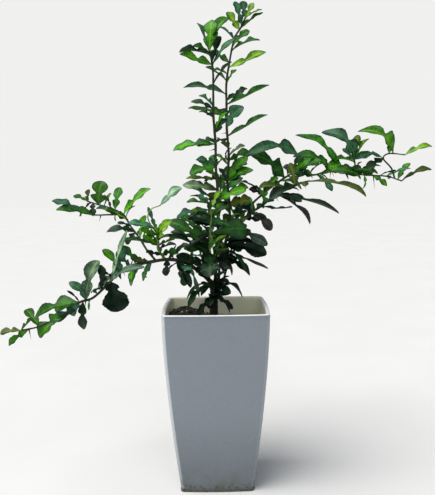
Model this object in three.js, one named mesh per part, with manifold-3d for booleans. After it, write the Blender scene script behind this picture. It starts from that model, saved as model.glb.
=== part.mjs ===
// Potted makrut lime: a young citrus shrub in a tall tapered square planter.
// Millimetres, +Z up, front towards -Y, origin at the middle of the planter's underside.
//
// Every leaf is the double leaf of the species: a winged stalk and a blade that meet at a narrow joint.
// Each leafy stem is one solid, with its leaves and thorns sunk into it.

import * as THREE from 'three';
import { mergeVertices } from 'three/addons/utils/BufferGeometryUtils.js';
import Module from 'manifold-3d';

const wasm = await Module();
wasm.setup();

// Planter
const POT_HEIGHT = 535;
const POT_TOP_HALF = 153;
const POT_FOOT_HALF = 106;
const POT_CURVE = 1.55;
const POT_LEVELS = [110, 230, 350, 460];
const POT_WALL = 7;
const POT_FLOOR = 9;
const POT_CORNER = 12;
const POT_CORNER_BEARINGS = [0, 45, 90];
const POT_SIDE_BULGE = 5;
const POT_SIDE_SHARES = [0.3, 0.7];
const LIP_WIDTH = 11;
const LIP_DEPTH = 14;
const LIP_ROUND = 4;
const FOOT_LIP_HEIGHT = 8;
const FOOT_LIP_PROUD = 2.5;
const DRAIN_RADIUS = 7;
const DRAIN_OFFSET = 45;

// Soil
const SOIL_LEVEL = 468;
const SOIL_GAP = 0.8;
const SOIL_RING_SHARES = [1, 0.84, 0.66, 0.46, 0.24];
const MOUND_HEIGHT = 44;
const MOUND_CENTRE = [-95, 85];
const MOUND_SPREAD = 55;

// Wood
const TRUNK_RADIUS = 13.5;
const TRUNK_FLARE = 17;
const FORK_RADIUS = 12;
const JOINT_GAP = 0.35;
const STEM_SIDES = 5;
const STEPS_PER_SPAN = 1.5;
const SPAN_LENGTH = 55;
const FIRST_SIDE = new THREE.Vector3(1, 0.3, 0);

// Leaf: shares of the length, and the half width there as a share of the blade's.
const LEAF_STATIONS = [0, 0.3, 0.44, 0.6, 0.8, 1];
const LEAF_OUTLINE = [0.1, 'wing', 0.24, 1, 0.8, 0.12];
const SMALL_LEAF = 90;
const SMALL_STATIONS = [0, 0.3, 0.44, 0.7, 1];
const SMALL_OUTLINE = [0.1, 'wing', 0.24, 1, 0.3];
const LEAF_THICKNESS = 2;
const LEAF_WIDTH = [16, 0.17];
const STALK_HALF = 1.5;
const LEAF_CLEARANCE = 0.4;
const THORN_RADIUS = 1.4;

// How leaves grow: angles in degrees, and ranges that the draws fall in.
const GOLDEN_ANGLE = 137.5;
const GOLDEN_DRIFT = [-25, 25];
const PLACE_DRIFT = [0, 0.9];
const OPENING = [50, 80];
const LEAF_LIFT = 0.25;
const LENGTH_SHARE = [0.8, 1.2];
const WIDTH_SHARE = [0.9, 1.15];
const TURN = [-25, 25];
const ARCH = [0, 0.08];
const WING = [0.7, 1];
const LIGHT = new THREE.Vector3(0, -0.6, 0.8);
const BENDS = [0, 14, -14, 28, -28, 42, -42];

// Each stem's route is a list of points that its curve passes through.
// Shown leaves are the ones that make its outline: place along the route in points, heading in the
// upright plane of the front view (0 is right, 90 is up), lean towards the viewer, and length, with
// what is a leaf's own: its width, its turn, its arch, or the share of its wing.
// The filling leaves between them follow the golden angle, from one place to the tip.
// A thorn is: place, heading, lean and length.
const STEMS = {
  left_tall_stem: {
    parent: 'trunk',
    colour: 0x3c5a22,
    seed: 1,
    radii: [5, 2.8],
    from: 1,
    route: [
      [0, 0, 600], [0, -5, 665], [5, -10, 725], [10, -10, 765], [10, -15, 825], [10, -20, 880], [5, -25, 950],
      [5, -30, 1015], [0, -40, 1090], [0, -45, 1155], [0, -50, 1215], [-5, -55, 1255], [-10, -60, 1275],
    ],
    shown: [
      [1.3, 75, 15, 75], [1.3, 325, 30, 65], [5, 145, 25, 50], [5, 165, -10, 90], [5, 170, 10, 105],
      [5.5, 175, 0, 90], [5.5, 185, -30, 45], [6, 195, 10, 80, { width: 38, turn: -30 }],
      [6, 155, -15, 65], [7, 185, 0, 125, { width: 44 }],
      [7.2, 190, 20, 65], [7.5, 60, 20, 65], [8, 150, -20, 50], [8.5, 140, 20, 50], [10.5, 50, 20, 95],
      [10.5, 160, 10, 95, { width: 38, turn: -20, arch: -0.05 }], [11.3, 175, 15, 90],
      [12, 65, -15, 120, { width: 44 }], [12, 85, -5, 90, { width: 46 }], [12, 110, -10, 90, { turn: 50 }],
    ],
    filling: { count: 11, from: 1.5, length: 75 },
    thorns: [[6.8, 200, 10, 22]],
  },
  right_tall_stem: {
    parent: 'trunk',
    colour: 0x466a26,
    seed: 2,
    radii: [5, 2.5],
    from: 1,
    route: [
      [10, 10, 600], [15, 15, 660], [30, 20, 715], [45, 25, 775], [45, 30, 840], [40, 35, 910], [45, 40, 985],
      [40, 50, 1070], [40, 55, 1140], [40, 60, 1200], [50, 70, 1265], [65, 75, 1335], [85, 80, 1370],
      [100, 80, 1400],
    ],
    shown: [
      [1.2, 335, 10, 100, { arch: 0.2 }], [1.5, 345, 45, 50], [2, 350, 10, 130, { width: 56, turn: 30 }],
      [2, 10, 25, 95], [2.2, 20, 40, 75, { width: 46 }], [4, 10, 30, 75, { width: 44, turn: 30 }],
      [4, 350, 10, 80, { width: 40, turn: 30, arch: 0.15 }], [4.5, 15, 20, 65, { width: 46 }],
      [5, 30, -15, 75, { width: 40, turn: 30 }], [5, 50, 15, 95], [5, 120, -30, 55], [5.8, 30, -10, 70],
      [6, 35, 25, 60], [6.7, 30, 10, 135, { width: 34, arch: -0.04 }],
      [7, 55, 20, 80, { width: 50, turn: 30 }], [7.5, 165, -15, 125, { wing: 1.2 }],
      [8, 25, 10, 140, { width: 34, arch: -0.04 }], [8.5, 165, -15, 140, { width: 30 }], [9, 55, 30, 55],
      [9.5, 160, 20, 45], [9.8, 25, 10, 120, { width: 36, turn: 20, arch: -0.05 }], [10, 145, -10, 75],
      [10.5, 20, 10, 90], [11, 135, -10, 60], [11.8, 125, 0, 65], [12, 35, 10, 80], [13, 25, 10, 55],
      [13, 60, 0, 50], [13, 100, 0, 50],
    ],
    filling: { count: 11, from: 1.5, length: 75 },
    thorns: [[6.8, 185, 10, 18]],
  },
  inner_shoot: {
    parent: 'trunk',
    colour: 0x6f8f3c,
    seed: 3,
    radii: [4, 2],
    from: 0,
    route: [[-5, -10, 635], [-15, -25, 700], [-15, -45, 755], [-10, -60, 805], [-15, -70, 845]],
    shown: [
      [0.5, 170, 25, 75], [1, 130, 30, 60, { width: 44 }], [1, 155, 5, 145], [1, 170, 15, 80],
      [1.5, 150, -10, 145], [2, 200, 40, 50], [2, 210, 10, 80], [2.5, 165, 10, 50],
      [3, 155, 20, 60], [3, 175, 30, 60, { arch: 0.15 }], [3.5, 190, 10, 100, { width: 44 }],
      [4, 140, 35, 45], [4, 175, 0, 65],
    ],
    filling: { count: 2, from: 0.5, length: 60 },
    thorns: [],
  },
  base_shoot: {
    parent: 'trunk',
    colour: 0x35561f,
    seed: 4,
    radii: [3.6, 2],
    from: 0,
    route: [[-5, -5, 530], [-10, -30, 555], [-5, -40, 585], [-5, -40, 610]],
    shown: [
      [1.5, 15, 20, 55], [1.5, 230, 20, 70, { arch: 0.12 }], [1.5, 325, -10, 75], [2, 255, 30, 55],
      [2.5, 215, 20, 100, { arch: 0.25 }], [3, 220, 25, 55], [3, 330, 30, 65],
      [3, 335, 10, 95, { arch: 0.3 }],
    ],
    filling: { count: 3, from: 1, length: 60 },
    thorns: [],
  },
  lower_left_branch: {
    parent: 'trunk',
    colour: 0x34501f,
    seed: 5,
    radii: [6, 2],
    from: 1,
    route: [
      [-10, 0, 600], [-50, -10, 640], [-90, -25, 670], [-140, -40, 680], [-190, -55, 675], [-245, -70, 665],
      [-285, -85, 640], [-315, -100, 610], [-350, -110, 580], [-385, -125, 570], [-415, -140, 540],
      [-455, -150, 525], [-495, -165, 510], [-535, -180, 505],
    ],
    shown: [
      [1.5, 140, 35, 60, { width: 44 }], [1.5, 245, 20, 65], [2, 250, -20, 55], [2.5, 300, 25, 95],
      [3, 40, 10, 85], [3, 265, 30, 50], [3.9, 240, -15, 70], [4, 165, 30, 50], [4.5, 135, 10, 80],
      [4.5, 245, 10, 70], [5, 130, 25, 50], [5.5, 210, 20, 85], [6, 75, 0, 90],
      [6.5, 285, 15, 90, { width: 80, wing: 0.5 }], [6.5, 210, -20, 65], [7, 100, 0, 65],
      [8.5, 85, 0, 60], [8.5, 125, 10, 70, { arch: 0.2 }], [8.5, 75, -15, 120, { width: 56, arch: 0.15 }],
      [9, 200, -10, 150, { width: 54, arch: 0.12, wing: 1.3 }], [9, 210, 20, 90, { arch: -0.12, wing: 1.3 }],
      [10.2, 215, 15, 90, { width: 54 }], [12.5, 215, 0, 75], [13, 45, 10, 50], [13, 185, 10, 55],
    ],
    filling: { count: 6, from: 1.5, length: 75 },
    thorns: [[5, 70, 5, 40], [5.5, 290, 0, 20], [8.5, 265, 10, 25], [12.5, 280, 5, 30]],
  },
  upper_left_branch: {
    parent: 'lower_left_branch',
    colour: 0x4a6d28,
    seed: 6,
    radii: [3.4, 2],
    from: 0,
    route: [
      [-170, -50, 675], [-200, -25, 705], [-225, 0, 740], [-255, 30, 775], [-280, 55, 810], [-325, 80, 830],
      [-365, 100, 840], [-400, 120, 850],
    ],
    shown: [
      [2.5, 175, 15, 85, { arch: 0.15 }], [2.5, 230, 10, 45], [3.5, 150, 10, 80], [4, 45, 0, 115],
      [4.5, 170, 25, 65], [5.5, 60, 20, 50], [6, 80, 0, 75, { width: 52 }], [6.5, 275, 30, 45],
      [7, 80, 20, 40], [7, 155, 0, 50],
    ],
    filling: { count: 5, from: 1, length: 65 },
    thorns: [[3, 295, 0, 12]],
    twigs: [
      {
        radii: [2.8, 1.8],
        route: [[-280, 55, 810], [-325, 45, 810], [-365, 40, 810], [-390, 30, 815]],
        shown: [[2, 170, 15, 115], [3, 155, 0, 110]],
        thorns: [[1.5, 255, 5, 22]],
      },
    ],
  },
  left_inner_shoot: {
    parent: 'lower_left_branch',
    colour: 0x6c9a2e,
    seed: 7,
    radii: [3.8, 2.2],
    from: 0,
    route: [[-145, -40, 680], [-165, -55, 710], [-165, -70, 740], [-170, -80, 775]],
    shown: [
      [0.5, 15, 25, 55], [0.5, 165, 30, 50], [1, 20, 10, 55, { arch: 0.1 }], [1.5, 140, 15, 50],
      [1.5, 170, 10, 110], [2, 100, 35, 50], [2.5, 45, 20, 65], [3, 165, 10, 80],
    ],
    filling: { count: 3, from: 1, length: 60 },
    thorns: [],
    twigs: [
      {
        radii: [1.9, 1.6],
        route: [[-170, -80, 765], [-185, -85, 790], [-190, -90, 810], [-180, -90, 830], [-155, -95, 840]],
        shown: [[4, 45, -5, 80]],
        thorns: [],
      },
    ],
  },
  lower_right_branch: {
    parent: 'right_tall_stem',
    colour: 0x39561f,
    seed: 8,
    radii: [4.4, 2.2],
    from: 0,
    route: [
      [40, 25, 750], [70, 10, 780], [110, -10, 815], [140, -30, 835], [175, -55, 865], [215, -85, 885],
      [245, -110, 900], [265, -125, 905],
    ],
    shown: [
      [0.8, 330, 20, 125, { width: 34 }], [1.5, 350, 30, 45], [2, 155, 30, 45], [2, 320, 10, 80],
      [3, 0, 20, 90, { arch: -0.1 }], [4, 345, 10, 190, { width: 28 }], [4.2, 320, 0, 130, { width: 28 }],
      [5, 175, 10, 90], [5.5, 200, 20, 90], [7, 347, 10, 160, { width: 30 }],
    ],
    filling: { count: 6, from: 1, length: 65 },
    thorns: [[4, 300, 5, 22], [6.5, 265, 5, 20]],
  },
  upper_right_branch: {
    parent: 'lower_right_branch',
    colour: 0x44692a,
    seed: 9,
    radii: [3.6, 2],
    from: 0,
    route: [
      [95, -5, 800], [115, 15, 840], [150, 35, 870], [190, 50, 900], [240, 65, 930], [270, 80, 935],
      [310, 90, 925], [365, 100, 940], [425, 115, 940], [470, 130, 925], [550, 145, 920], [605, 160, 905],
    ],
    shown: [
      [2, 150, 0, 80], [2, 160, 20, 50], [3.5, 145, 10, 135, { width: 52, turn: -20, arch: 0.12, wing: 1.2 }],
      [5, 160, -20, 60], [6, 175, 30, 80, { turn: -30 }], [7, 160, 10, 130, { turn: -20, arch: 0.18 }],
      [7.6, 138, 0, 180, { width: 50, arch: 0.12 }], [8.5, 165, 25, 105, { width: 46, turn: -30 }],
      [9.5, 170, 20, 100, { width: 44, turn: -30 }], [10, 20, 10, 80], [11, 25, 0, 105],
    ],
    filling: { count: 7, from: 1.5, length: 65 },
    thorns: [[7, 265, 5, 30], [7, 300, 5, 25], [9.5, 270, 5, 45]],
    twigs: [
      {
        radii: [2.4, 1.8],
        route: [[270, 80, 935], [265, 75, 960], [265, 70, 980]],
        shown: [[2, 175, 5, 180, { width: 34, turn: -30, arch: 0.18, wing: 1.5 }]],
        thorns: [],
      },
      {
        radii: [3, 2.2],
        route: [[445, 120, 935], [445, 115, 955], [440, 110, 975]],
        shown: [
          [0.5, 175, 35, 65], [1.5, 170, 20, 65, { width: 40 }], [1.5, 125, -20, 60],
          [1.5, 135, 0, 140, { width: 48, arch: 0.25, wing: 1.3 }], [2, 60, 15, 75], [2, 80, 0, 75],
        ],
        thorns: [],
      },
      {
        radii: [3, 1.8],
        route: [[580, 150, 915], [565, 135, 945], [535, 120, 975], [550, 110, 990], [595, 95, 985]],
        shown: [
          [2, 180, 10, 95, { arch: 0.2 }], [2, 210, 20, 75], [3, 85, 10, 60],
          [3.3, 145, 0, 130, { width: 46, arch: 0.25, wing: 1.4 }], [4, 20, 0, 90],
        ],
        thorns: [],
      },
    ],
  },
  back_left_shoot: {
    parent: 'trunk',
    colour: 0x2f4d22,
    seed: 10,
    radii: [4, 2],
    from: 0,
    route: [[-5, 0, 545], [-20, 45, 605], [-40, 95, 665], [-55, 145, 715], [-60, 190, 760]],
    shown: [],
    filling: { count: 11, from: 1, length: 95 },
    thorns: [],
  },
  back_right_shoot: {
    parent: 'trunk',
    colour: 0x2c4a20,
    seed: 11,
    radii: [4, 2],
    from: 0,
    route: [[5, 0, 555], [30, 50, 620], [50, 100, 685], [65, 145, 740], [75, 185, 790]],
    shown: [],
    filling: { count: 11, from: 1, length: 95 },
    thorns: [],
  },
  back_middle_shoot: {
    parent: 'trunk',
    colour: 0x365826,
    seed: 12,
    radii: [4, 2],
    from: 0,
    route: [[0, 5, 570], [5, 50, 650], [10, 90, 730], [15, 120, 805], [20, 140, 875], [20, 150, 930]],
    shown: [],
    filling: { count: 12, from: 1, length: 90 },
    thorns: [],
  },
};

const TRUNK = {
  colour: 0x4a4030,
  route: [[-5, 0, 360], [-5, 0, 430], [-5, 0, 480], [-5, 0, 540], [0, 0, 590], [0, 0, 610]],
  flareTo: 2,
  forks: ['left_tall_stem', 'right_tall_stem', 'lower_left_branch'],
};

const UP = new THREE.Vector3(0, 0, 1);
const radians = THREE.MathUtils.degToRad;
const degrees = THREE.MathUtils.radToDeg;
const vector = (xyz) => new THREE.Vector3(...xyz);

// Repeatable draws between two values.
function drawsFrom(seed) {
  let state = (seed * 104729) % 2147483647;
  return (low, high) => {
    state = (state * 16807) % 2147483647;
    return low + ((high - low) * state) / 2147483647;
  };
}

// Closed solid through rings of equally many points.
function loft(rings) {
  const points = rings.flat();
  const sides = rings[0].length;
  const triangles = [];
  for (let r = 0; r + 1 < rings.length; r++) {
    for (let k = 0; k < sides; k++) {
      const a = r * sides + k;
      const b = r * sides + ((k + 1) % sides);
      triangles.push(a, b, b + sides, a, b + sides, a + sides);
    }
  }
  const last = (rings.length - 1) * sides;
  for (let k = 1; k + 1 < sides; k++) {
    triangles.push(0, k + 1, k);
    triangles.push(last, last + k, last + k + 1);
  }
  const geometry = new THREE.BufferGeometry().setFromPoints(points);
  geometry.setIndex(triangles);
  return solidOf(geometry);
}

function solidOf(geometry) {
  const merged = mergeVertices(geometry, 1e-4);
  const vertProperties = new Float32Array(merged.attributes.position.array);
  const triVerts = new Uint32Array(merged.index.array);
  return new wasm.Manifold(new wasm.Mesh({ numProp: 3, vertProperties, triVerts }));
}

// The largest body of a fused solid, without loose scraps or sealed hollows.
function mainBody(solid) {
  const bodies = solid.decompose();
  return bodies.reduce((best, body) => (body.volume() > best.volume() ? body : best));
}

function meshOf(name, solid, colour, roughness) {
  const { numProp, vertProperties, triVerts } = solid.getMesh();
  const positions = new Float32Array((vertProperties.length / numProp) * 3);
  for (let v = 0; v < positions.length / 3; v++) {
    positions.set(vertProperties.subarray(v * numProp, v * numProp + 3), v * 3);
  }
  const geometry = new THREE.BufferGeometry();
  geometry.setAttribute('position', new THREE.BufferAttribute(positions, 3));
  geometry.setIndex(new THREE.BufferAttribute(new Uint32Array(triVerts), 1));
  geometry.computeVertexNormals();
  const material = new THREE.MeshStandardMaterial({ color: colour, roughness, metalness: 0 });
  const mesh = new THREE.Mesh(geometry, material);
  mesh.name = name;
  return mesh;
}

// Planter

function potHalf(z) {
  const depth = Math.max(0, 1 - z / POT_HEIGHT);
  return POT_FOOT_HALF + (POT_TOP_HALF - POT_FOOT_HALF) * (1 - depth ** POT_CURVE);
}

// Rounded square with slightly bowed sides.
function squareRing(half, z, corner = POT_CORNER) {
  const ring = [];
  const flat = half - corner;
  for (let quarter = 0; quarter < 4; quarter++) {
    const turn = new THREE.Matrix4().makeRotationZ((quarter * Math.PI) / 2);
    for (const bearing of POT_CORNER_BEARINGS.map(radians)) {
      const x = flat + corner * Math.cos(bearing);
      const y = flat + corner * Math.sin(bearing);
      ring.push(new THREE.Vector3(x, y, z).applyMatrix4(turn));
    }
    for (const share of POT_SIDE_SHARES) {
      const bulge = POT_SIDE_BULGE * 4 * share * (1 - share) * (half / POT_TOP_HALF);
      ring.push(new THREE.Vector3(flat * (1 - 2 * share), half + bulge, z).applyMatrix4(turn));
    }
  }
  return ring;
}

function potSolid() {
  const lipInner = POT_TOP_HALF - LIP_WIDTH;
  const lipCorner = POT_CORNER - LIP_ROUND;
  const underLip = POT_HEIGHT - LIP_DEPTH - LIP_ROUND;
  let pot = loft([
    squareRing(POT_FOOT_HALF + FOOT_LIP_PROUD, 0),
    squareRing(POT_FOOT_HALF + FOOT_LIP_PROUD, FOOT_LIP_HEIGHT),
    squareRing(potHalf(FOOT_LIP_HEIGHT), FOOT_LIP_HEIGHT + FOOT_LIP_PROUD),
    ...POT_LEVELS.map((z) => squareRing(potHalf(z), z)),
    squareRing(POT_TOP_HALF, POT_HEIGHT - LIP_ROUND),
    squareRing(POT_TOP_HALF - LIP_ROUND, POT_HEIGHT, lipCorner),
    squareRing(lipInner + LIP_ROUND, POT_HEIGHT, lipCorner),
    squareRing(lipInner, POT_HEIGHT - LIP_ROUND, lipCorner),
    squareRing(lipInner, POT_HEIGHT - LIP_DEPTH, lipCorner),
    squareRing(potHalf(underLip) - POT_WALL, underLip),
    ...[...POT_LEVELS].reverse().map((z) => squareRing(potHalf(z) - POT_WALL, z)),
    squareRing(potHalf(POT_FLOOR) - POT_WALL, POT_FLOOR),
  ]);
  for (const x of [-DRAIN_OFFSET, DRAIN_OFFSET]) {
    for (const y of [-DRAIN_OFFSET, DRAIN_OFFSET]) {
      pot = pot.subtract(drainHole(x, y));
    }
  }
  return pot;
}

function drainHole(x, y) {
  const hole = new THREE.CylinderGeometry(DRAIN_RADIUS, DRAIN_RADIUS, 4 * POT_FLOOR, 10);
  hole.rotateX(Math.PI / 2);
  hole.translate(x, y, 0);
  hole.deleteAttribute('normal');
  hole.deleteAttribute('uv');
  return solidOf(hole);
}

// Soil, level but for a heap against the back left corner

function soilHeight(x, y) {
  const away = (x - MOUND_CENTRE[0]) ** 2 + (y - MOUND_CENTRE[1]) ** 2;
  return SOIL_LEVEL + MOUND_HEIGHT * Math.exp(-away / (2 * MOUND_SPREAD ** 2));
}

function soilSolid(trunkRoom) {
  const wallHalf = (z) => potHalf(z) - POT_WALL - SOIL_GAP;
  const base = POT_FLOOR + SOIL_GAP;
  const rings = [base, ...POT_LEVELS.filter((z) => z < SOIL_LEVEL)].map((z) => squareRing(wallHalf(z), z));
  for (const share of SOIL_RING_SHARES) {
    const ring = squareRing(wallHalf(SOIL_LEVEL) * share, SOIL_LEVEL, POT_CORNER * share);
    ring.forEach((point) => point.setZ(soilHeight(point.x, point.y)));
    rings.push(ring);
  }
  return mainBody(loft(rings).subtract(trunkRoom));
}

// Wood

const spansOf = (stem) => stem.route.length - 1;

function routeCurve(route) {
  return new THREE.CatmullRomCurve3(route.map(vector), false, 'catmullrom', 0.5);
}

// A tapering tube along a stretch of the route; grow widens and lengthens it.
function tube(stem, radii, from, to, grow = 0) {
  const curve = routeCurve(stem.route);
  const steps = Math.max(2, Math.round((to - from) * STEPS_PER_SPAN));
  const rings = [];
  let side = null;
  for (let i = 0; i <= steps; i++) {
    const share = (from + ((to - from) * i) / steps) / spansOf(stem);
    const point = curve.getPoint(share);
    const tangent = curve.getTangent(share);
    if (i === 0) side = FIRST_SIDE.clone().cross(tangent);
    if (i === 0) point.addScaledVector(tangent, -grow);
    if (i === steps) point.addScaledVector(tangent, grow);
    side.addScaledVector(tangent, -side.dot(tangent)).normalize();
    const other = tangent.clone().cross(side);
    const radius = THREE.MathUtils.lerp(radii[0], radii[1], share) + grow;
    const ring = [];
    for (let k = 0; k < STEM_SIDES; k++) {
      const angle = (k / STEM_SIDES) * 2 * Math.PI;
      const spoke = side.clone().multiplyScalar(Math.cos(angle)).addScaledVector(other, Math.sin(angle));
      ring.push(point.clone().addScaledVector(spoke, radius));
    }
    rings.push(ring);
  }
  return loft(rings);
}

function trunkWood(grow = 0) {
  const overlap = grow / SPAN_LENGTH;
  const parts = [
    tube(TRUNK, [TRUNK_FLARE, TRUNK_RADIUS], 0, TRUNK.flareTo, grow),
    tube(TRUNK, [TRUNK_RADIUS, FORK_RADIUS], TRUNK.flareTo - overlap, spansOf(TRUNK), grow),
  ];
  for (const name of TRUNK.forks) {
    parts.push(tube(STEMS[name], STEMS[name].radii, 0, STEMS[name].from, grow));
  }
  return wasm.Manifold.union(parts);
}

// The bare wood of a stem, from where it leaves its parent.
function stemWood(stem, grow = 0) {
  const start = stem.from > 0 ? stem.from + JOINT_GAP / SPAN_LENGTH : 0;
  return tube(stem, stem.radii, start, spansOf(stem), grow);
}

function woodOfParent(stem, grow) {
  return stem.parent === 'trunk' ? trunkWood(grow) : stemWood(STEMS[stem.parent], grow);
}

// Leaves and thorns

function headingVector(heading, lean) {
  const h = radians(heading);
  const e = radians(lean);
  return new THREE.Vector3(Math.cos(h) * Math.cos(e), -Math.sin(e), Math.sin(h) * Math.cos(e));
}

// Where a leaf of the golden-angle run goes, as place, heading, lean and length.
function fillingRow(stem, k, draw) {
  const { count, from, length } = stem.filling;
  const place = from + ((spansOf(stem) - from) * (k + draw(...PLACE_DRIFT))) / count;
  const tangent = routeCurve(stem.route).getTangent(place / spansOf(stem));
  const turn = radians(GOLDEN_ANGLE * k + draw(...GOLDEN_DRIFT));
  const open = radians(draw(...OPENING));
  const side = FIRST_SIDE.clone().cross(tangent).normalize();
  const other = tangent.clone().cross(side);
  const along = tangent.multiplyScalar(Math.cos(open));
  along.addScaledVector(side, Math.sin(open) * Math.cos(turn));
  along.addScaledVector(other, Math.sin(open) * Math.sin(turn));
  along.addScaledVector(UP, LEAF_LIFT).normalize();
  const heading = degrees(Math.atan2(along.z, along.x));
  const lean = degrees(-Math.asin(along.y));
  return [place, heading, lean, length * draw(...LENGTH_SHARE)];
}

// Every leaf of a stem, the shown ones first, each with its own width, turn, arch and wing.
function leavesOf(stem, draw) {
  const rows = [...stem.shown];
  for (let k = 0; k < (stem.filling?.count ?? 0); k++) rows.push(fillingRow(stem, k, draw));
  return rows.map(([place, heading, lean, length, own], i) => ({
    shown: i < stem.shown.length,
    place,
    heading,
    lean,
    length,
    width: (LEAF_WIDTH[0] + LEAF_WIDTH[1] * length) * draw(...WIDTH_SHARE),
    turn: draw(...TURN),
    arch: draw(...ARCH),
    wing: draw(...WING),
    ...own,
  }));
}

// A leaf has a flat upper face that turns to the light, and a keel below; grow widens it all round.
function leafSolid(base, leaf, bend = 0, grow = 0) {
  const along = headingVector(leaf.heading, leaf.lean + bend);
  const face = LIGHT.clone().addScaledVector(along, -LIGHT.dot(along)).normalize();
  const normal = face.clone().applyAxisAngle(along, radians(leaf.turn));
  const across = along.clone().cross(normal);
  const small = leaf.length < SMALL_LEAF;
  const outline = small ? SMALL_OUTLINE : LEAF_OUTLINE;
  const rings = (small ? SMALL_STATIONS : LEAF_STATIONS).map((s, i) => {
    const share = outline[i] === 'wing' ? leaf.wing : outline[i];
    const half = Math.max(STALK_HALF, (share * leaf.width) / 2) + grow;
    const rib = base.clone().addScaledVector(along, leaf.length * s);
    rib.addScaledVector(face, leaf.arch * leaf.length * 4 * s * (1 - s));
    const top = rib.clone().addScaledVector(normal, grow);
    return [
      top.clone().addScaledVector(across, half),
      rib.clone().addScaledVector(normal, -LEAF_THICKNESS - grow),
      top.clone().addScaledVector(across, -half),
    ];
  });
  return loft(rings);
}

function thornSolid(base, [, heading, lean, length]) {
  const along = headingVector(heading, lean);
  const side = along.clone().cross(new THREE.Vector3(0, 1, 0)).normalize();
  const other = along.clone().cross(side);
  const ringAt = (distance, radius) => [0, 90, 180, 270].map(radians).map((angle) => base.clone()
    .addScaledVector(along, distance)
    .addScaledVector(side, radius * Math.cos(angle))
    .addScaledVector(other, radius * Math.sin(angle)));
  return loft([ringAt(0, THORN_RADIUS), ringAt(length, THORN_RADIUS / 3)]);
}

const isClear = (solid, others) => others.every((other) => solid.intersect(other).isEmpty());

// The leaf as it grew, or bent clear of the other stems; a filling leaf is bent clear of its siblings
// too, where it can be. Null where it finds no room.
function clearLeaf(base, leaf, others, siblings) {
  const free = BENDS.filter((angle) => isClear(leafSolid(base, leaf, angle, LEAF_CLEARANCE), others));
  if (free.length === 0) return null;
  const around = leaf.shown ? [] : siblings;
  const bend = free.find((angle) => isClear(leafSolid(base, leaf, angle), around)) ?? free[0];
  return leafSolid(base, leaf, bend);
}

// What grows on one route: its leaves and its thorns.
function growth(stem, draw, others) {
  const curve = routeCurve(stem.route);
  const baseAt = (place) => curve.getPoint(place / spansOf(stem));
  const leaves = [];
  for (const leaf of leavesOf(stem, draw)) {
    const solid = clearLeaf(baseAt(leaf.place), leaf, others, leaves);
    if (solid !== null) leaves.push(solid);
  }
  const thorns = stem.thorns.map((row) => thornSolid(baseAt(row[0]), row));
  return [...leaves, ...thorns.filter((thorn) => isClear(thorn, others))];
}

function leafyStem(stem, others) {
  const draw = drawsFrom(stem.seed);
  const parts = [stemWood(stem), ...growth(stem, draw, others)];
  for (const twig of stem.twigs ?? []) {
    parts.push(tube(twig, twig.radii, 0, spansOf(twig)), ...growth(twig, draw, others));
  }
  return mainBody(wasm.Manifold.union(parts).subtract(woodOfParent(stem, JOINT_GAP)));
}

// Each stem grows clear of what stands already and of the bare wood still to come.
function allStems(standing) {
  const grown = new Map();
  const bare = new Map(Object.entries(STEMS).map(([name, stem]) => [name, stemWood(stem)]));
  for (const [name, stem] of Object.entries(STEMS)) {
    bare.delete(name);
    grown.set(name, leafyStem(stem, [...standing, ...grown.values(), ...bare.values()]));
  }
  return grown;
}

const pot = potSolid();
const soil = soilSolid(trunkWood(SOIL_GAP));
const trunk = mainBody(trunkWood());
const plant = new THREE.Group();
plant.add(meshOf('pot', pot, 0x7e8890, 0.3));
plant.add(meshOf('soil', soil, 0x2c241c, 0.95));
plant.add(meshOf('trunk', trunk, TRUNK.colour, 0.8));
for (const [name, solid] of allStems([pot, soil, trunk])) {
  plant.add(meshOf(name, solid, STEMS[name].colour, 0.45));
}

export default plant;
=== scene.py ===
# Potted makrut lime: a young citrus shrub in a tall tapered square planter.
# Metres, +Z up, front towards -Y, origin at the middle of the planter's underside.
# The stems' routes and leaves repeat the part's own, in its millimetres.

import math
import random

import bmesh
import bpy
import numpy as np
from mathutils import Matrix, Vector, noise
from mathutils.kdtree import KDTree


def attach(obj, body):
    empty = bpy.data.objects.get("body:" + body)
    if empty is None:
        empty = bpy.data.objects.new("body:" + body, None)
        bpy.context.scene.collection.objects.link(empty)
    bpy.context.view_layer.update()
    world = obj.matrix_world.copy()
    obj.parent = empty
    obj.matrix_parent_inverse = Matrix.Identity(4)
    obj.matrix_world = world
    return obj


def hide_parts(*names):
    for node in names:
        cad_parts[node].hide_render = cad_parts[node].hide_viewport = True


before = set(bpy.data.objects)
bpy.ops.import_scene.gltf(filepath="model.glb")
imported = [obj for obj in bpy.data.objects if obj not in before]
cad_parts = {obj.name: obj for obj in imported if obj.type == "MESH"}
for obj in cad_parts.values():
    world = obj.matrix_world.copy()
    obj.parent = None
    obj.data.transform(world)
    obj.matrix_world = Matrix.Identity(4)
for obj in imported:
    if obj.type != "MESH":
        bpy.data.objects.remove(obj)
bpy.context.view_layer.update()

MM = 0.001

# Places this near each other are one, and a face whose normal is this much along a way faces it
NEAR = 1e-5
TINY = 1e-6
FACING = 0.9
PARTLY_FACING = 0.5

# Camera, as the photograph was taken, in metres, degrees and millimetres of sensor
FRAME_LONG_SIDE = 495
FOCAL_PIXELS = 629.8
SENSOR = 36
CAMERA_PLACE = (-0.005, -1.882, 0.889)
CAMERA_YAW = 0.39
CAMERA_PITCH = -5.43
CAMERA_ROLL = -0.6

# Stage: each light stands in a direction from the plant and is as wide as its angle in degrees
FLOOR_SIZE = 60
LIGHTS = {
    "overhead": {"from": (-1.4, -0.8, 2.9), "angle": 50, "strength": 2.8, "colour": (1.0, 0.98, 0.94)},
    "front": {"from": (0.3, -3.0, 1.8), "angle": 50, "strength": 0.6, "colour": (0.94, 0.97, 1.0)},
}
AMBIENT = (0.88, 0.93, 1.0)
AMBIENT_STRENGTH = 0.18
BACKDROP = (0.875, 0.875, 0.862)

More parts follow.
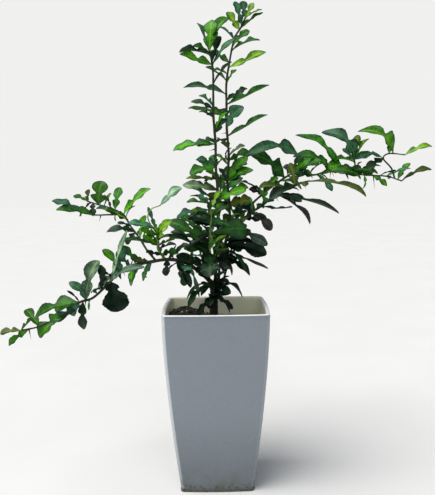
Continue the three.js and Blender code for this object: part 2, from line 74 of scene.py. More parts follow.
# Planter
POT_HEIGHT = 0.535
POT_TOP_HALF = 0.153
POT_FOOT_HALF = 0.106
POT_CURVE = 1.55
POT_OUTSIDE_STEPS = 14
POT_WALL = 0.007
POT_FLOOR = 0.009
POT_CORNER = 0.012
POT_CORNER_STEPS = 6
POT_SIDE_BULGE = 0.005
POT_SIDE_CUTS = (-0.66, -0.33, 0, 0.33, 0.66)
LIP_WIDTH = 0.011
LIP_DEPTH = 0.014
LIP_ROUND = 0.004
LIP_ROUND_ANGLES = (0, 30, 60, 90)
LIP_FADE = 0.04
FOOT_LIP_HEIGHT = 0.008
FOOT_LIP_PROUD = 0.0025
DRAIN_RADIUS = 0.007
DRAIN_OFFSET = 0.045
DRAIN_SIDES = 20
DRAIN_CUT = 6 * POT_FLOOR

# Marks on the planter: the height, or distance from a corner, where each kind starts and where it is full.
# The corners carry a painted highlight, and its two places along X give how strong it is at each: strong on
# the left, faint on the right. Painted shade darkens the glaze from its first height down to the foot.
CORNER_HIGHLIGHT = (0.011, 0.006)
HIGHLIGHT_SIDES = (0.03, -0.03, 0.15, 0.7)
PAINTED_SHADE_FROM_TO = (0.28, 0.0)
DIRT_FROM_TO = (0.11, 0.004)
FOOT_FROM_TO = (0.016, 0.006)
SPOTS_FROM_TO = (0.16, 0.02)
CRUSTS_FROM_TO = (0.03, 0.016)
TIDE_LINE = (0.474, 0.456)

# Soil
SOIL_LEVEL = 0.468
SOIL_GAP = 0.0008
SOIL_CELLS = 64
MOUND_HEIGHT = 0.044
MOUND_CENTRE = (-0.095, 0.085)
MOUND_SPREAD = 0.055
SOIL_CLODS = 0.006
CLOD_GRAIN = 45
CLOD_NOISE = (1.0, 2.1, 4)
GRIT_GRAIN = 160
GRIT_SHARE = 0.5
CLODS_UP_TO = 0.97
CLODS_FADE = 6
SOIL_DEPTHS = (0.4, 0.3, 0.2, 0.1, POT_FLOOR + SOIL_GAP)

# What lies on the soil, in metres: flat is how high a grain is for its width
LITTER = {
    "soil_crumbs": {
        "material": "soil_crumb", "rough": 0.9, "cells": 2,
        "count": 260, "sizes": (0.002, 0.0065), "flat": 0.7, "seed": 11,
    },
    "perlite_grains": {
        "material": "perlite", "rough": 0.85, "cells": 1,
        "count": 60, "sizes": (0.0015, 0.0034), "flat": 0.8, "seed": 12,
    },
    "bark_chips": {
        "material": "bark_chip", "rough": 0.8, "cells": 1,
        "count": 60, "sizes": (0.003, 0.009), "flat": 0.25, "seed": 13,
    },
}
GRAIN_RELIEF = 0.35
GRAIN_LUMPS = 1.7
GRAIN_STRETCH = (0.7, 1.3)
GRAIN_TILT = (-0.5, 0.5)
GRAIN_LIFT = 0.2

# Wood, in the part's millimetres. Reliefs and the voxel are in metres, and places are in points of a route.
# A thorn has three stretches: their lengths are shares of it, and each narrows to a share of its start.
TRUNK_RADIUS = 13.5
TRUNK_FLARE = 17
FORK_RADIUS = 12
SPAN_RINGS = 6
STEM_RESOLUTION = 2
AGE_STEPS = 120
YOUNG_RADIUS = 2.2
OLD_RADIUS = 8
NODE_REACH = 0.12
NODE_SWELL = 0.5
RELIEF_NOISE = (1.0, 2.0, 3)
TWIG_RELIEF = 0.0003
TWIG_GRAIN = 300
SLEEVE = 0.06
SLEEVE_INSET = 0.6
THORN_SIDES = 8
THORN_RADIUS = 1.9
THORN_BOW = (-0.1, 0.1)
THORN_FOOT = 1.5
THORN_LENGTHS = (0.5, 0.42, 0.08)
THORN_SHARES = (0.45, 0.35, 0.2)
BUD_LENGTH = 7
TRUNK_VOXEL = 0.0018
TRUNK_SMOOTHING = {"factor": 0.5, "iterations": 6}
TRUNK_RELIEF = 0.0011
TRUNK_GRAIN = 90

# Leaf: a winged stalk and a blade that meet at a narrow joint. Its sizes are in metres and its angles
# in degrees. A pair is what each leaf draws between.
LEAF_LENGTH = 0.1
LEAF_HALF = 0.021
LEAF_JOINT = 0.44
LEAF_ROWS = 25
LEAF_COLUMNS = 6
WING_PEAK = 1.5
WING_ROUND = 0.7
BLADE_PEAK = 0.85
BLADE_ROUND = 0.62
MASTER_WING = 0.85
STALK_SHARE = 0.1
JOINT_SHARE = 0.34
JOINT_LEAD = 0.08
JOINT_SPAN = 0.1
TIP_LEAST = 0.04
AT_MIDRIB = 0.01
AT_MARGIN = 0.99
LEAF_THICKNESS = 0.0008
ROW_SLANT = 0.35
SCALLOP = 1.05
QUILT = 0.0006
MIDRIB_SINK = 0.0007
MIDRIB_KEEL = 0.0008
STALK_KEEL = 0.0014
WING_START = 0.12
FOLD = (6, 28)
WAVE = (0.08, 0.26)
WAVES = (1.4, 3)
TWIST = (-34, 34)
TWIST_FROM = 0.3
TIP_CURL = (0, 0.8)
CURL_FROM = 0.6
TONE_LIGHT = (0.5, 1.5)
TONE_WARM = (0.88, 1.14)
DRY_TIPS = 0.35
DRY_FROM_TO = (0.9, 0.99)
CENTRE_GLOW = (1.5, 1.38, 0.85, 1)
VEIN_GLOW = (1.9, 1.65, 1.1, 1)
LEAF_SHEEN = {"specular_ior_level": 0.3, "specular_tint": (0.65, 1, 0.78, 1)}
TIP_TAPER = (0, 0.6)
TAPER_FROM = 0.58

# The part's own rule for its leaves, in millimetres and degrees, and its draws. A leaf's width is a least
# width and a share of its length.
SEED_FACTOR = 104729
DRAW_FACTOR = 16807
DRAW_MODULUS = 2147483647
FIRST_SIDE = np.array([1, 0.3, 0])
TIP_SHARE = 0.12
SMALL_LEAF = 90
SMALL_TIP_SHARE = 0.3
LEAF_WIDTH = (16, 0.17)
STALK_HALF = 1.5
GOLDEN_ANGLE = 137.5
GOLDEN_DRIFT = (-25, 25)
PLACE_DRIFT = (0, 0.9)
OPENING = (50, 80)
LEAF_LIFT = 0.25
LENGTH_SHARE = (0.8, 1.2)
WIDTH_SHARE = (0.9, 1.15)
TURN = (-25, 25)
ARCH = (0, 0.08)
WING = (0.7, 1)
LIGHT = np.array([0, -0.6, 0.8])
BENDS = (0, 14, -14, 28, -28, 42, -42)
SAME_PLACE = 0.6

# Leaf tones, 0 to 255. Lime and bright are partly the leaves' own paler green and partly painted light on the
# top of the crown; deep and dark are partly their own darker green and partly painted shade low and inside
# it; teal and silver are partly painted sheen of a pale sky on the gloss.
TONES = {
    "lime": (116, 162, 40),
    "bright": (74, 144, 20),
    "leaf": (48, 108, 26),
    "deep": (20, 56, 26),
    "dark": (5, 26, 15),
    "teal": (64, 118, 92),
    "silver": (134, 166, 144),
    "olive": (80, 98, 32),
    "dusk": (50, 44, 56),
}

# The other tones, the same way
PALETTE = {
    "leaf_patch": (140, 160, 146), "leaf_edge": (80, 98, 84), "dry_tip": (70, 56, 58),
    "matt_leaf": (88, 122, 76), "matt_patch": (195, 205, 192), "dry_under": (80, 66, 62),
    "old_green": (40, 56, 27), "old_brown": (34, 34, 26), "old_streak": (150, 155, 140),
    "pale_green": (124, 148, 74), "pale_brown": (104, 122, 66), "pale_streak": (170, 180, 140),
    "bark_grain": (140, 146, 108), "bark_pore": (128, 130, 100),
    "thorn": (42, 32, 34), "thorn_patch": (62, 46, 44),
    "bud_green": (82, 120, 40), "bud_green_patch": (112, 146, 58),
    "glaze": (121, 129, 139), "glaze_cloud": (123, 132, 141), "glaze_run": (146, 153, 158),
    "glaze_corner_highlight": (214, 220, 224), "glaze_painted_shade": (196, 203, 204), "glaze_dirt": (84, 88, 74),
    "glaze_foot": (56, 62, 52), "glaze_spot": (36, 38, 30),
    "lip": (250, 251, 251), "lip_scuff": (196, 200, 199), "lip_grit": (120, 116, 104),
    "inside": (240, 241, 210), "inside_cloud": (248, 248, 224),
    "inside_stain": (104, 100, 78), "inside_grit": (60, 52, 40),
    "soil": (27, 27, 22), "soil_clod": (52, 50, 40), "soil_bit": (88, 86, 66),
    "soil_crumb": (34, 34, 27), "soil_crumb_patch": (62, 60, 46),
    "perlite": (222, 224, 220), "perlite_patch": (244, 244, 242),
    "bark_chip": (58, 62, 42), "bark_chip_patch": (92, 92, 66),
    "floor": (251, 251, 251), "floor_cloud": (249, 249, 249),
}

# Each stem's route in millimetres, as in the part.
# A shown leaf is: place along the route in points, heading in the upright plane of the front view, lean
# towards the viewer, length, tone, and what is its own. Width, turn, arch and wing are the part's too, apart
# from the broad leaf's wing. Broad, joint, fold and taper shape the finer leaf alone.
# A thorn is: place, heading, lean and length. A filling is: how many leaves, from where, and how long.
STEMS = {
    "left_tall_stem": {
        "seed": 1,
        "radii": (5, 2.8),
        "from": 1,
        "tones": ("bright", "leaf", "leaf", "teal", "deep"),
        "route": [
            (0, 0, 600), (0, -5, 665), (5, -10, 725), (10, -10, 765), (10, -15, 825), (10, -20, 880),
            (5, -25, 950), (5, -30, 1015), (0, -40, 1090), (0, -45, 1155), (0, -50, 1215), (-5, -55, 1255),
            (-10, -60, 1275),
        ],
        "shown": [
            (1.3, 75, 15, 75, "leaf"), (1.3, 325, 30, 65, "dark"), (5, 145, 25, 50, "leaf"),
            (5, 165, -10, 90, "leaf"), (5, 170, 10, 105, "silver"), (5.5, 175, 0, 90, "lime"),
            (5.5, 185, -30, 45, "dusk"), (6, 195, 10, 80, "leaf", {"width": 38, "turn": -30}),
            (6, 155, -15, 65, "teal"), (7, 185, 0, 125, "bright", {"width": 44}),
            (7.2, 190, 20, 65, "teal"), (7.5, 60, 20, 65, "bright"), (8, 150, -20, 50, "deep"),
            (8.5, 140, 20, 50, "teal"), (10.5, 50, 20, 95, "teal"),
            (10.5, 160, 10, 95, "bright", {"width": 38, "turn": -20, "arch": -0.05}),
            (11.3, 175, 15, 90, "deep", {"fold": 50}), (12, 65, -15, 120, "bright", {"width": 44}),
            (12, 85, -5, 90, "bright", {"width": 46, "fold": 8, "taper": 0.6}),
            (12, 110, -10, 90, "teal", {"turn": 50}),
        ],
        "filling": (11, 1.5, 75),
        "thorns": [(6.8, 200, 10, 22)],
    },
    "right_tall_stem": {
        "seed": 2,
        "radii": (5, 2.5),
        "from": 1,
        "tones": ("bright", "leaf", "leaf", "teal", "deep", "olive"),
        "route": [
            (10, 10, 600), (15, 15, 660), (30, 20, 715), (45, 25, 775), (45, 30, 840), (40, 35, 910),
            (45, 40, 985), (40, 50, 1070), (40, 55, 1140), (40, 60, 1200), (50, 70, 1265), (65, 75, 1335),
            (85, 80, 1370), (100, 80, 1400),
        ],
        "shown": [
            (1.2, 335, 10, 100, "dark", {"arch": 0.2}), (1.5, 345, 45, 50, "dark"),
            (2, 350, 10, 130, "dark", {"width": 56, "turn": 30}), (2, 10, 25, 95, "dark"),
            (2.2, 20, 40, 75, "deep", {"width": 46}), (4, 10, 30, 75, "olive", {"width": 44, "turn": 30}),
            (4, 350, 10, 80, "deep", {"width": 40, "turn": 30, "arch": 0.15}),
            (4.5, 15, 20, 65, "bright", {"width": 46}), (5, 30, -15, 75, "deep", {"width": 40, "turn": 30}),
            (5, 50, 15, 95, "bright"), (5, 120, -30, 55, "deep"), (5.8, 30, -10, 70, "leaf"),
            (6, 35, 25, 60, "silver"),
            (6.7, 30, 10, 135, "leaf", {"width": 34, "arch": -0.04, "fold": 45, "taper": 0.8}),
            (7, 55, 20, 80, "teal", {"width": 50, "turn": 30}), (7.5, 165, -15, 125, "bright", {"wing": 1.2}),
            (8, 25, 10, 140, "leaf", {"width": 34, "arch": -0.04, "fold": 45, "taper": 0.8}),
            (8.5, 165, -15, 140, "teal", {"width": 30, "fold": 40, "taper": 0.7}),
            (9, 55, 30, 55, "bright"), (9.5, 160, 20, 45, "lime"),
            (9.8, 25, 10, 120, "lime", {"width": 36, "turn": 20, "arch": -0.05, "taper": 0.6}),
            (10, 145, -10, 75, "leaf"),
            (10.5, 20, 10, 90, "leaf"), (11, 135, -10, 60, "teal"), (11.8, 125, 0, 65, "lime"),
            (12, 35, 10, 80, "bright"), (13, 25, 10, 55, "lime"), (13, 60, 0, 50, "lime"),
            (13, 100, 0, 50, "teal"),
        ],
        "filling": (11, 1.5, 75),
        "thorns": [(6.8, 185, 10, 18)],
    },
    "inner_shoot": {
        "seed": 3,
        "radii": (4, 2),
        "tones": ("lime", "bright", "leaf"),
        "route": [(-5, -10, 635), (-15, -25, 700), (-15, -45, 755), (-10, -60, 805), (-15, -70, 845)],
        "shown": [
            (0.5, 170, 25, 75, "deep"), (1, 130, 30, 60, "deep", {"width": 44}), (1, 155, 5, 145, "deep"),
            (1, 170, 15, 80, "leaf"), (1.5, 150, -10, 145, "leaf"), (2, 200, 40, 50, "deep"),
            (2, 210, 10, 80, "dark"), (2.5, 165, 10, 50, "dark"), (3, 155, 20, 60, "lime"),
            (3, 175, 30, 60, "dark", {"arch": 0.15}), (3.5, 190, 10, 100, "teal", {"width": 44}),
            (4, 140, 35, 45, "teal"), (4, 175, 0, 65, "bright"),
        ],
        "filling": (2, 0.5, 60),
    },
    "base_shoot": {
        "seed": 4,
        "radii": (3.6, 2),
        "tones": ("dark", "deep"),
        "route": [(-5, -5, 530), (-10, -30, 555), (-5, -40, 585), (-5, -40, 610)],
        "shown": [
            (1.5, 15, 20, 55, "dark"), (1.5, 230, 20, 70, "deep", {"arch": 0.12}),
            (1.5, 325, -10, 75, "dark"), (2, 255, 30, 55, "dark"),
            (2.5, 215, 20, 100, "deep", {"arch": 0.25}), (3, 220, 25, 55, "dark"),
            (3, 330, 30, 65, "deep"), (3, 335, 10, 95, "dark", {"arch": 0.3}),
        ],
        "filling": (3, 1, 60),
    },
    "lower_left_branch": {
        "seed": 5,
        "radii": (6, 2),
        "from": 1,
        "tones": ("leaf", "deep", "bright", "teal"),
        "route": [
            (-10, 0, 600), (-50, -10, 640), (-90, -25, 670), (-140, -40, 680), (-190, -55, 675),
            (-245, -70, 665), (-285, -85, 640), (-315, -100, 610), (-350, -110, 580), (-385, -125, 570),
            (-415, -140, 540), (-455, -150, 525), (-495, -165, 510), (-535, -180, 505),
        ],
        "shown": [
            (1.5, 140, 35, 60, "deep", {"width": 44}), (1.5, 245, 20, 65, "deep"), (2, 250, -20, 55, "dark"),
            (2.5, 300, 25, 95, "deep"), (3, 40, 10, 85, "deep"), (3, 265, 30, 50, "dark"),
            (3.9, 240, -15, 70, "teal"), (4, 165, 30, 50, "olive"), (4.5, 135, 10, 80, "leaf"),
            (4.5, 245, 10, 70, "teal"), (5, 130, 25, 50, "teal"), (5.5, 210, 20, 85, "silver"),
            (6, 75, 0, 90, "teal"),
            (6.5, 285, 15, 90, "dark", {"width": 80, "wing": 0.5, "taper": 0, "joint": 0.28, "fold": 8}),
            (6.5, 210, -20, 65, "deep"), (7, 100, 0, 65, "deep"), (8.5, 85, 0, 60, "leaf"),
            (8.5, 125, 10, 70, "teal", {"arch": 0.2}),
            (8.5, 75, -15, 120, "silver", {"width": 56, "arch": 0.15, "fold": 45}),
            (9, 200, -10, 150, "bright", {"width": 54, "arch": 0.12, "wing": 1.3}),
            (9, 210, 20, 90, "teal", {"arch": -0.12, "wing": 1.3}),
            (10.2, 215, 15, 90, "bright", {"width": 54}), (12.5, 215, 0, 75, "bright"),
            (13, 45, 10, 50, "leaf"), (13, 185, 10, 55, "olive"),
        ],
        "filling": (6, 1.5, 75),
        "thorns": [(5, 70, 5, 40), (5.5, 290, 0, 20), (8.5, 265, 10, 25), (12.5, 280, 5, 30)],
    },
    "upper_left_branch": {
        "seed": 6,
        "radii": (3.4, 2),
        "tones": ("bright", "leaf", "teal", "deep"),
        "route": [
            (-170, -50, 675), (-200, -25, 705), (-225, 0, 740), (-255, 30, 775), (-280, 55, 810),
            (-325, 80, 830), (-365, 100, 840), (-400, 120, 850),
        ],
        "shown": [
            (2.5, 175, 15, 85, "deep", {"arch": 0.15}), (2.5, 230, 10, 45, "deep"),
            (3.5, 150, 10, 80, "lime"), (4, 45, 0, 115, "bright"), (4.5, 170, 25, 65, "teal"),
            (5.5, 60, 20, 50, "lime"), (6, 80, 0, 75, "bright", {"width": 52, "taper": 0}),
            (6.5, 275, 30, 45, "deep"), (7, 80, 20, 40, "olive"), (7, 155, 0, 50, "leaf"),
        ],
        "filling": (5, 1, 65),
        "thorns": [(3, 295, 0, 12)],
        "twigs": [
            {
                "radii": (2.8, 1.8),
                "route": [(-280, 55, 810), (-325, 45, 810), (-365, 40, 810), (-390, 30, 815)],
                "shown": [(2, 170, 15, 115, "leaf"), (3, 155, 0, 110, "teal")],
                "thorns": [(1.5, 255, 5, 22)],
            },
        ],
    },
    "left_inner_shoot": {
        "seed": 7,
        "radii": (3.8, 2.2),
        "tones": ("lime", "bright"),
        "route": [(-145, -40, 680), (-165, -55, 710), (-165, -70, 740), (-170, -80, 775)],
        "shown": [
            (0.5, 15, 25, 55, "leaf"), (0.5, 165, 30, 50, "deep"), (1, 20, 10, 55, "deep", {"arch": 0.1}),
            (1.5, 140, 15, 50, "bright"), (1.5, 170, 10, 110, "leaf"), (2, 100, 35, 50, "bright"),
            (2.5, 45, 20, 65, "lime"), (3, 165, 10, 80, "teal"),
        ],
        "filling": (3, 1, 60),
        "twigs": [
            {
                "radii": (1.9, 1.6),
                "route": [
                    (-170, -80, 765), (-185, -85, 790), (-190, -90, 810), (-180, -90, 830), (-155, -95, 840),
                ],
                "shown": [(4, 45, -5, 80, "silver", {"broad": 1.4, "wing": 0.5, "fold": 5, "taper": 0})],
            },
        ],
    },
    "lower_right_branch": {
        "seed": 8,
        "radii": (4.4, 2.2),
        "tones": ("leaf", "deep", "olive", "deep"),
        "route": [
            (40, 25, 750), (70, 10, 780), (110, -10, 815), (140, -30, 835), (175, -55, 865), (215, -85, 885),
            (245, -110, 900), (265, -125, 905),
        ],
        "shown": [
            (0.8, 330, 20, 125, "dark", {"width": 34}), (1.5, 350, 30, 45, "dark"), (2, 155, 30, 45, "dark"),
            (2, 320, 10, 80, "dusk"), (3, 0, 20, 90, "deep", {"arch": -0.1}),
            (4, 345, 10, 190, "deep", {"width": 28, "fold": 45}),
            (4.2, 320, 0, 130, "dusk", {"width": 28, "fold": 50}),
            (5, 175, 10, 90, "olive"), (5.5, 200, 20, 90, "deep"),
            (7, 347, 10, 160, "olive", {"width": 30, "fold": 40}),
        ],
        "filling": (6, 1, 65),
        "thorns": [(4, 300, 5, 22), (6.5, 265, 5, 20)],
    },
    "upper_right_branch": {
        "seed": 9,
        "radii": (3.6, 2),
        "tones": ("bright", "leaf", "teal"),
        "route": [
            (95, -5, 800), (115, 15, 840), (150, 35, 870), (190, 50, 900), (240, 65, 930), (270, 80, 935),
            (310, 90, 925), (365, 100, 940), (425, 115, 940), (470, 130, 925), (550, 145, 920),
            (605, 160, 905),
        ],
        "shown": [
            (2, 150, 0, 80, "deep"), (2, 160, 20, 50, "dusk"),
            (3.5, 145, 10, 135, "leaf", {"width": 52, "turn": -20, "arch": 0.12, "wing": 1.2}),
            (5, 160, -20, 60, "dusk"), (6, 175, 30, 80, "teal", {"turn": -30}),
            (7, 160, 10, 130, "leaf", {"turn": -20, "arch": 0.18}),
            (7.6, 138, 0, 180, "leaf", {"width": 50, "arch": 0.12}),
            (8.5, 165, 25, 105, "bright", {"width": 46, "turn": -30}),
            (9.5, 170, 20, 100, "leaf", {"width": 44, "turn": -30}), (10, 20, 10, 80, "teal"),
            (11, 25, 0, 105, "olive"),
        ],
        "filling": (7, 1.5, 65),
        "thorns": [(7, 265, 5, 30), (7, 300, 5, 25), (9.5, 270, 5, 45)],
        "twigs": [
            {
                "radii": (2.4, 1.8),
                "route": [(270, 80, 935), (265, 75, 960), (265, 70, 980)],
                "shown": [(2, 175, 5, 180, "teal", {"width": 34, "turn": -30, "arch": 0.18, "wing": 1.5})],
            },
            {
                "radii": (3, 2.2),
                "route": [(445, 120, 935), (445, 115, 955), (440, 110, 975)],
                "shown": [
                    (0.5, 175, 35, 65, "bright"), (1.5, 170, 20, 65, "bright", {"width": 40}),
                    (1.5, 125, -20, 60, "teal"),
                    (1.5, 135, 0, 140, "teal", {"width": 48, "arch": 0.25, "wing": 1.3}),
                    (2, 60, 15, 75, "lime"), (2, 80, 0, 75, "lime"),
                ],
            },
            {
                "radii": (3, 1.8),
                "route": [(580, 150, 915), (565, 135, 945), (535, 120, 975), (550, 110, 990), (595, 95, 985)],
                "shown": [
                    (2, 180, 10, 95, "teal", {"arch": 0.2}), (2, 210, 20, 75, "deep"),
                    (3, 85, 10, 60, "bright"),
                    (3.3, 145, 0, 130, "bright", {"width": 46, "arch": 0.25, "wing": 1.4, "fold": 35}),
                    (4, 20, 0, 90, "lime"),
                ],
            },
        ],
    },
    "back_left_shoot": {
        "seed": 10,
        "radii": (4, 2),
        "tones": ("deep", "leaf", "deep"),
        "route": [(-5, 0, 545), (-20, 45, 605), (-40, 95, 665), (-55, 145, 715), (-60, 190, 760)],
        "filling": (11, 1, 95),
    },
    "back_right_shoot": {
        "seed": 11,
        "radii": (4, 2),
        "tones": ("deep", "leaf", "deep"),
        "route": [(5, 0, 555), (30, 50, 620), (50, 100, 685), (65, 145, 740), (75, 185, 790)],
        "filling": (11, 1, 95),
    },
    "back_middle_shoot": {
        "seed": 12,
        "radii": (4, 2),
        "tones": ("leaf", "deep", "bright"),
        "route": [(0, 5, 570), (5, 50, 650), (10, 90, 730), (15, 120, 805), (20, 140, 875), (20, 150, 930)],
        "filling": (12, 1, 90),
    },
}
PALE_STEMS = ("inner_shoot", "left_inner_shoot")

# The small slim leaves that the part's nodes leave out: how many a stem has, from where to where along its
# route, how long they are, and their tones. Their width is a share of their length.
SLIM_LEAVES = {
    "left_tall_stem": (12, 1, 6, 50, ("leaf", "bright", "deep", "teal")),
    "right_tall_stem": (14, 1, 6, 55, ("leaf", "deep", "bright", "olive")),
    "inner_shoot": (16, 0.2, 4, 60, ("leaf", "teal", "lime", "deep")),
    "base_shoot": (9, 1, 3, 60, ("dark", "deep")),
    "lower_left_branch": (16, 1, 9, 45, ("deep", "leaf", "dark", "teal")),
    "upper_left_branch": (7, 1, 6, 40, ("leaf", "bright", "deep")),
    "left_inner_shoot": (6, 0.4, 3, 45, ("leaf", "bright", "teal")),
    "lower_right_branch": (12, 0.5, 5, 50, ("deep", "dark", "leaf")),
    "upper_right_branch": (22, 2, 10.5, 60, ("leaf", "bright", "bright", "leaf", "deep")),
}
SLIM_WIDTH = (0.16, 0.32)
SLIM_ARCH = (0.05, 0.28)
SLIM_SEED = 40

# More leaves that the part's nodes leave out, written as the shown ones are.
FRONT_LEAVES = {
    "right_tall_stem": [
        (1.8, 338, 20, 150, "dusk", {"width": 12}), (1.4, 300, 30, 70, "dark", {"width": 16, "arch": 0.3}),
        (1.7, 320, 25, 95, "deep", {"width": 18, "arch": 0.3}),
    ],
    "inner_shoot": [
        (2, 10, 0, 110, "leaf", {"width": 64, "wing": 0.3, "turn": 35, "taper": 0, "fold": 5}),
        (1, 270, 45, 90, "deep", {"width": 60, "wing": 0.6, "turn": 0, "taper": 0}),
        (0.6, 215, 30, 60, "dark", {"width": 42, "taper": 0}), (2.6, 165, 20, 70, "teal", {"width": 30}),
    ],
    "base_shoot": [
        (1.2, 235, 20, 90, "dark", {"width": 14, "arch": 0.25}),
        (2, 310, 20, 80, "dark", {"width": 12, "arch": 0.2}),
        (2.6, 200, 20, 90, "deep", {"width": 14, "arch": 0.35}),
    ],
    "lower_left_branch": [
        (6.4, 72, 0, 150, "silver", {"width": 16}), (7.3, 82, 10, 65, "dark", {"width": 18}),
        (1.8, 290, 25, 110, "teal", {"width": 14, "arch": 0.2}),
        (6.8, 30, 20, 130, "silver", {"width": 26, "arch": 0.1}),
    ],
    "left_inner_shoot": [(3, 108, 0, 65, "teal", {"width": 14})],
    "upper_right_branch": [
        (6.3, 8, 20, 105, "leaf", {"width": 40, "fold": 10, "turn": 0}),
        (4.6, 30, 20, 80, "leaf", {"width": 38}), (3.8, 40, 25, 85, "bright", {"width": 36}),
        (5.6, 150, 20, 60, "bright", {"width": 34}), (8, 355, 20, 90, "leaf", {"width": 30}),
    ],
}

TRUNK_ROUTE = [(-5, 0, 360), (-5, 0, 430), (-5, 0, 480), (-5, 0, 540), (0, 0, 590), (0, 0, 610)]
TRUNK_FLARE_TO = 2
FORKS = ("left_tall_stem", "right_tall_stem", "lower_left_branch")


# Modelling by hand: one piece at a time is active, and its parts are picked by place or normal.

def only(piece):
    """Makes piece the one selected and active object."""
    bpy.ops.object.select_all(action="DESELECT")
    piece.select_set(True)
    bpy.context.view_layer.objects.active = piece


def added(name, scale=(1, 1, 1)):
    """The primitive that was just added, named, with its place and size put into its mesh."""
    piece = bpy.context.active_object
    piece.name = name
    piece.scale = scale
    only(piece)
    bpy.ops.object.transform_apply(location=True, rotation=True, scale=True)
    return piece


def pick(piece, kind, wanted):
    """In edit mode, selects just the vertices, edges or faces that are wanted."""
    bpy.ops.mesh.select_mode(type={"verts": "VERT", "edges": "EDGE", "faces": "FACE"}[kind])
    bpy.ops.mesh.select_all(action="DESELECT")
    shape = bmesh.from_edit_mesh(piece.data)
    for element in getattr(shape, kind):
        if wanted(element):
            element.select_set(True)
    shape.select_flush_mode()
    bmesh.update_edit_mesh(piece.data)


def apply_modifier(piece, kind, **settings):
    only(piece)
    modifier = piece.modifiers.new(kind.title(), kind)
    for key, value in settings.items():
        setattr(modifier, key, value)
    bpy.ops.object.modifier_apply(modifier=modifier.name)


def joined(name, parts):
    """One piece of several, keeping their materials."""
    bpy.ops.object.select_all(action="DESELECT")
    for part in parts:
        part.select_set(True)
    bpy.context.view_layer.objects.active = parts[0]
    if len(parts) > 1:
        bpy.ops.object.join()
    parts[0].name = name
    parts[0].data.name = name
    return parts[0]


def copy_of(master, points):
    """A copy of a shape with a mesh of its own, whose points are given."""
    piece = master.copy()
    piece.data = master.data.copy()
    piece.data.vertices.foreach_set("co", np.ascontiguousarray(points, dtype=np.float32).ravel())
    bpy.context.scene.collection.objects.link(piece)
    return piece


def points_of(piece):
    points = np.zeros(len(piece.data.vertices) * 3, dtype=np.float32)
    piece.data.vertices.foreach_get("co", points)
    return points.reshape(-1, 3).astype(float)


def smooth(piece, angle):
    only(piece)
    bpy.ops.object.shade_smooth_by_angle(angle=math.radians(angle))


def dress(piece, node):
    """A finished piece rides on the plant and stands for its node, which it hides."""
    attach(piece, "root")
    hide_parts(node)


# Materials

def tone(red, green, blue):
    """A daylight colour, 0 to 255, as the light that it sends back."""
    def linear(value):
        share = value / 255
        return share / 12.92 if share <= 0.04045 else ((share + 0.055) / 1.055) ** 2.4
    return (linear(red), linear(green), linear(blue), 1)


def paint(name):
    return tone(*PALETTE[name])


class Graph:
    """A node tree in the making: each call adds a node and gives what it puts out."""

    def __init__(self, tree):
        self.tree = tree

    def add(self, kind, inputs=(), **settings):
        made = self.tree.nodes.new(kind)
        for key, value in settings.items():
            setattr(made, key, value)
        for key, value in dict(inputs).items():
            if isinstance(value, bpy.types.NodeSocket):
                self.tree.links.new(value, made.inputs[key])
            else:
                made.inputs[key].default_value = value
        return made

    def math(self, operation, first, second=0.0):
        return self.add("ShaderNodeMath", {0: first, 1: second}, operation=operation).outputs[0]

    def times(self, first, second):
        return self.math("MULTIPLY", first, second)

    def ramp(self, value, low, high, start=0.0, end=1.0):
        inputs = {"Value": value, "From Min": low, "From Max": high, "To Min": start, "To Max": end}
        return self.add("ShaderNodeMapRange", inputs, interpolation_type="SMOOTHSTEP").outputs[0]

    def mix(self, share, first, second, blend="MIX"):
        node = self.add("ShaderNodeMix", {0: share, 6: first, 7: second}, data_type="RGBA", blend_type=blend)
        return node.outputs[2]

    def tinged(self, colour, factor):
        """The colour times another one."""
        return self.mix(1.0, colour, factor, "MULTIPLY")

    def laid(self, colour, mask, over, strength):
        """Another colour laid over, as far as a mask says."""
        return self.mix(self.times(mask, strength), colour, over)

    def noise(self, vector, scale, detail=4.0, stretch=None):
        if stretch is not None:
            vector = self.add("ShaderNodeMapping", {"Vector": vector, "Scale": stretch}).outputs[0]
        return self.add("ShaderNodeTexNoise", {"Vector": vector, "Scale": scale, "Detail": detail}).outputs[0]

    def place(self):
        return self.add("ShaderNodeTexCoord").outputs["Object"]

    def split(self, vector):
        return self.add("ShaderNodeSeparateXYZ", {0: vector}).outputs


def mask_group(name, *numbers):
    """An empty node group that makes a mask of a vector and named numbers: its graph, inputs and outputs."""
    tree = bpy.data.node_groups.new(name, "ShaderNodeTree")
    tree.interface.new_socket("Vector", in_out="INPUT", socket_type="NodeSocketVector")
    for label in numbers:
        tree.interface.new_socket(label, in_out="INPUT", socket_type="NodeSocketFloat")
    tree.interface.new_socket("Mask", in_out="OUTPUT", socket_type="NodeSocketFloat")
    graph = Graph(tree)
    return graph, graph.add("NodeGroupInput").outputs, graph.add("NodeGroupOutput").inputs


def mottle_group():
    """Soft patches: a mask from noise between two levels."""
    graph, source, result = mask_group("mottle", "Scale", "Low", "High")
    patches = graph.noise(source["Vector"], source["Scale"], 5.0)
    graph.tree.links.new(graph.ramp(patches, source["Low"], source["High"]), result["Mask"])
    return graph.tree


def speckle_group():
    """Small round specks, as grit, pores or spray."""
    graph, source, result = mask_group("speckle", "Scale", "Size")
    cells = graph.add("ShaderNodeTexVoronoi", {"Vector": source["Vector"], "Scale": source["Scale"]})
    graph.tree.links.new(graph.ramp(cells.outputs["Distance"], source["Size"], 0.0), result["Mask"])
    return graph.tree


MOTTLE = mottle_group()
SPECKLE = speckle_group()


def mottle(graph, vector, scale, low=0.4, high=0.6):
    inputs = {"Vector": vector, "Scale": scale, "Low": low, "High": high}
    return graph.add("ShaderNodeGroup", inputs, node_tree=MOTTLE).outputs[0]


def speckle(graph, vector, scale, size):
    inputs = {"Vector": vector, "Scale": scale, "Size": size}
    return graph.add("ShaderNodeGroup", inputs, node_tree=SPECKLE).outputs[0]


def new_material(name):
    material = bpy.data.materials.new(name)
    material.use_nodes = True
    material.node_tree.nodes.clear()
    return material, Graph(material.node_tree)


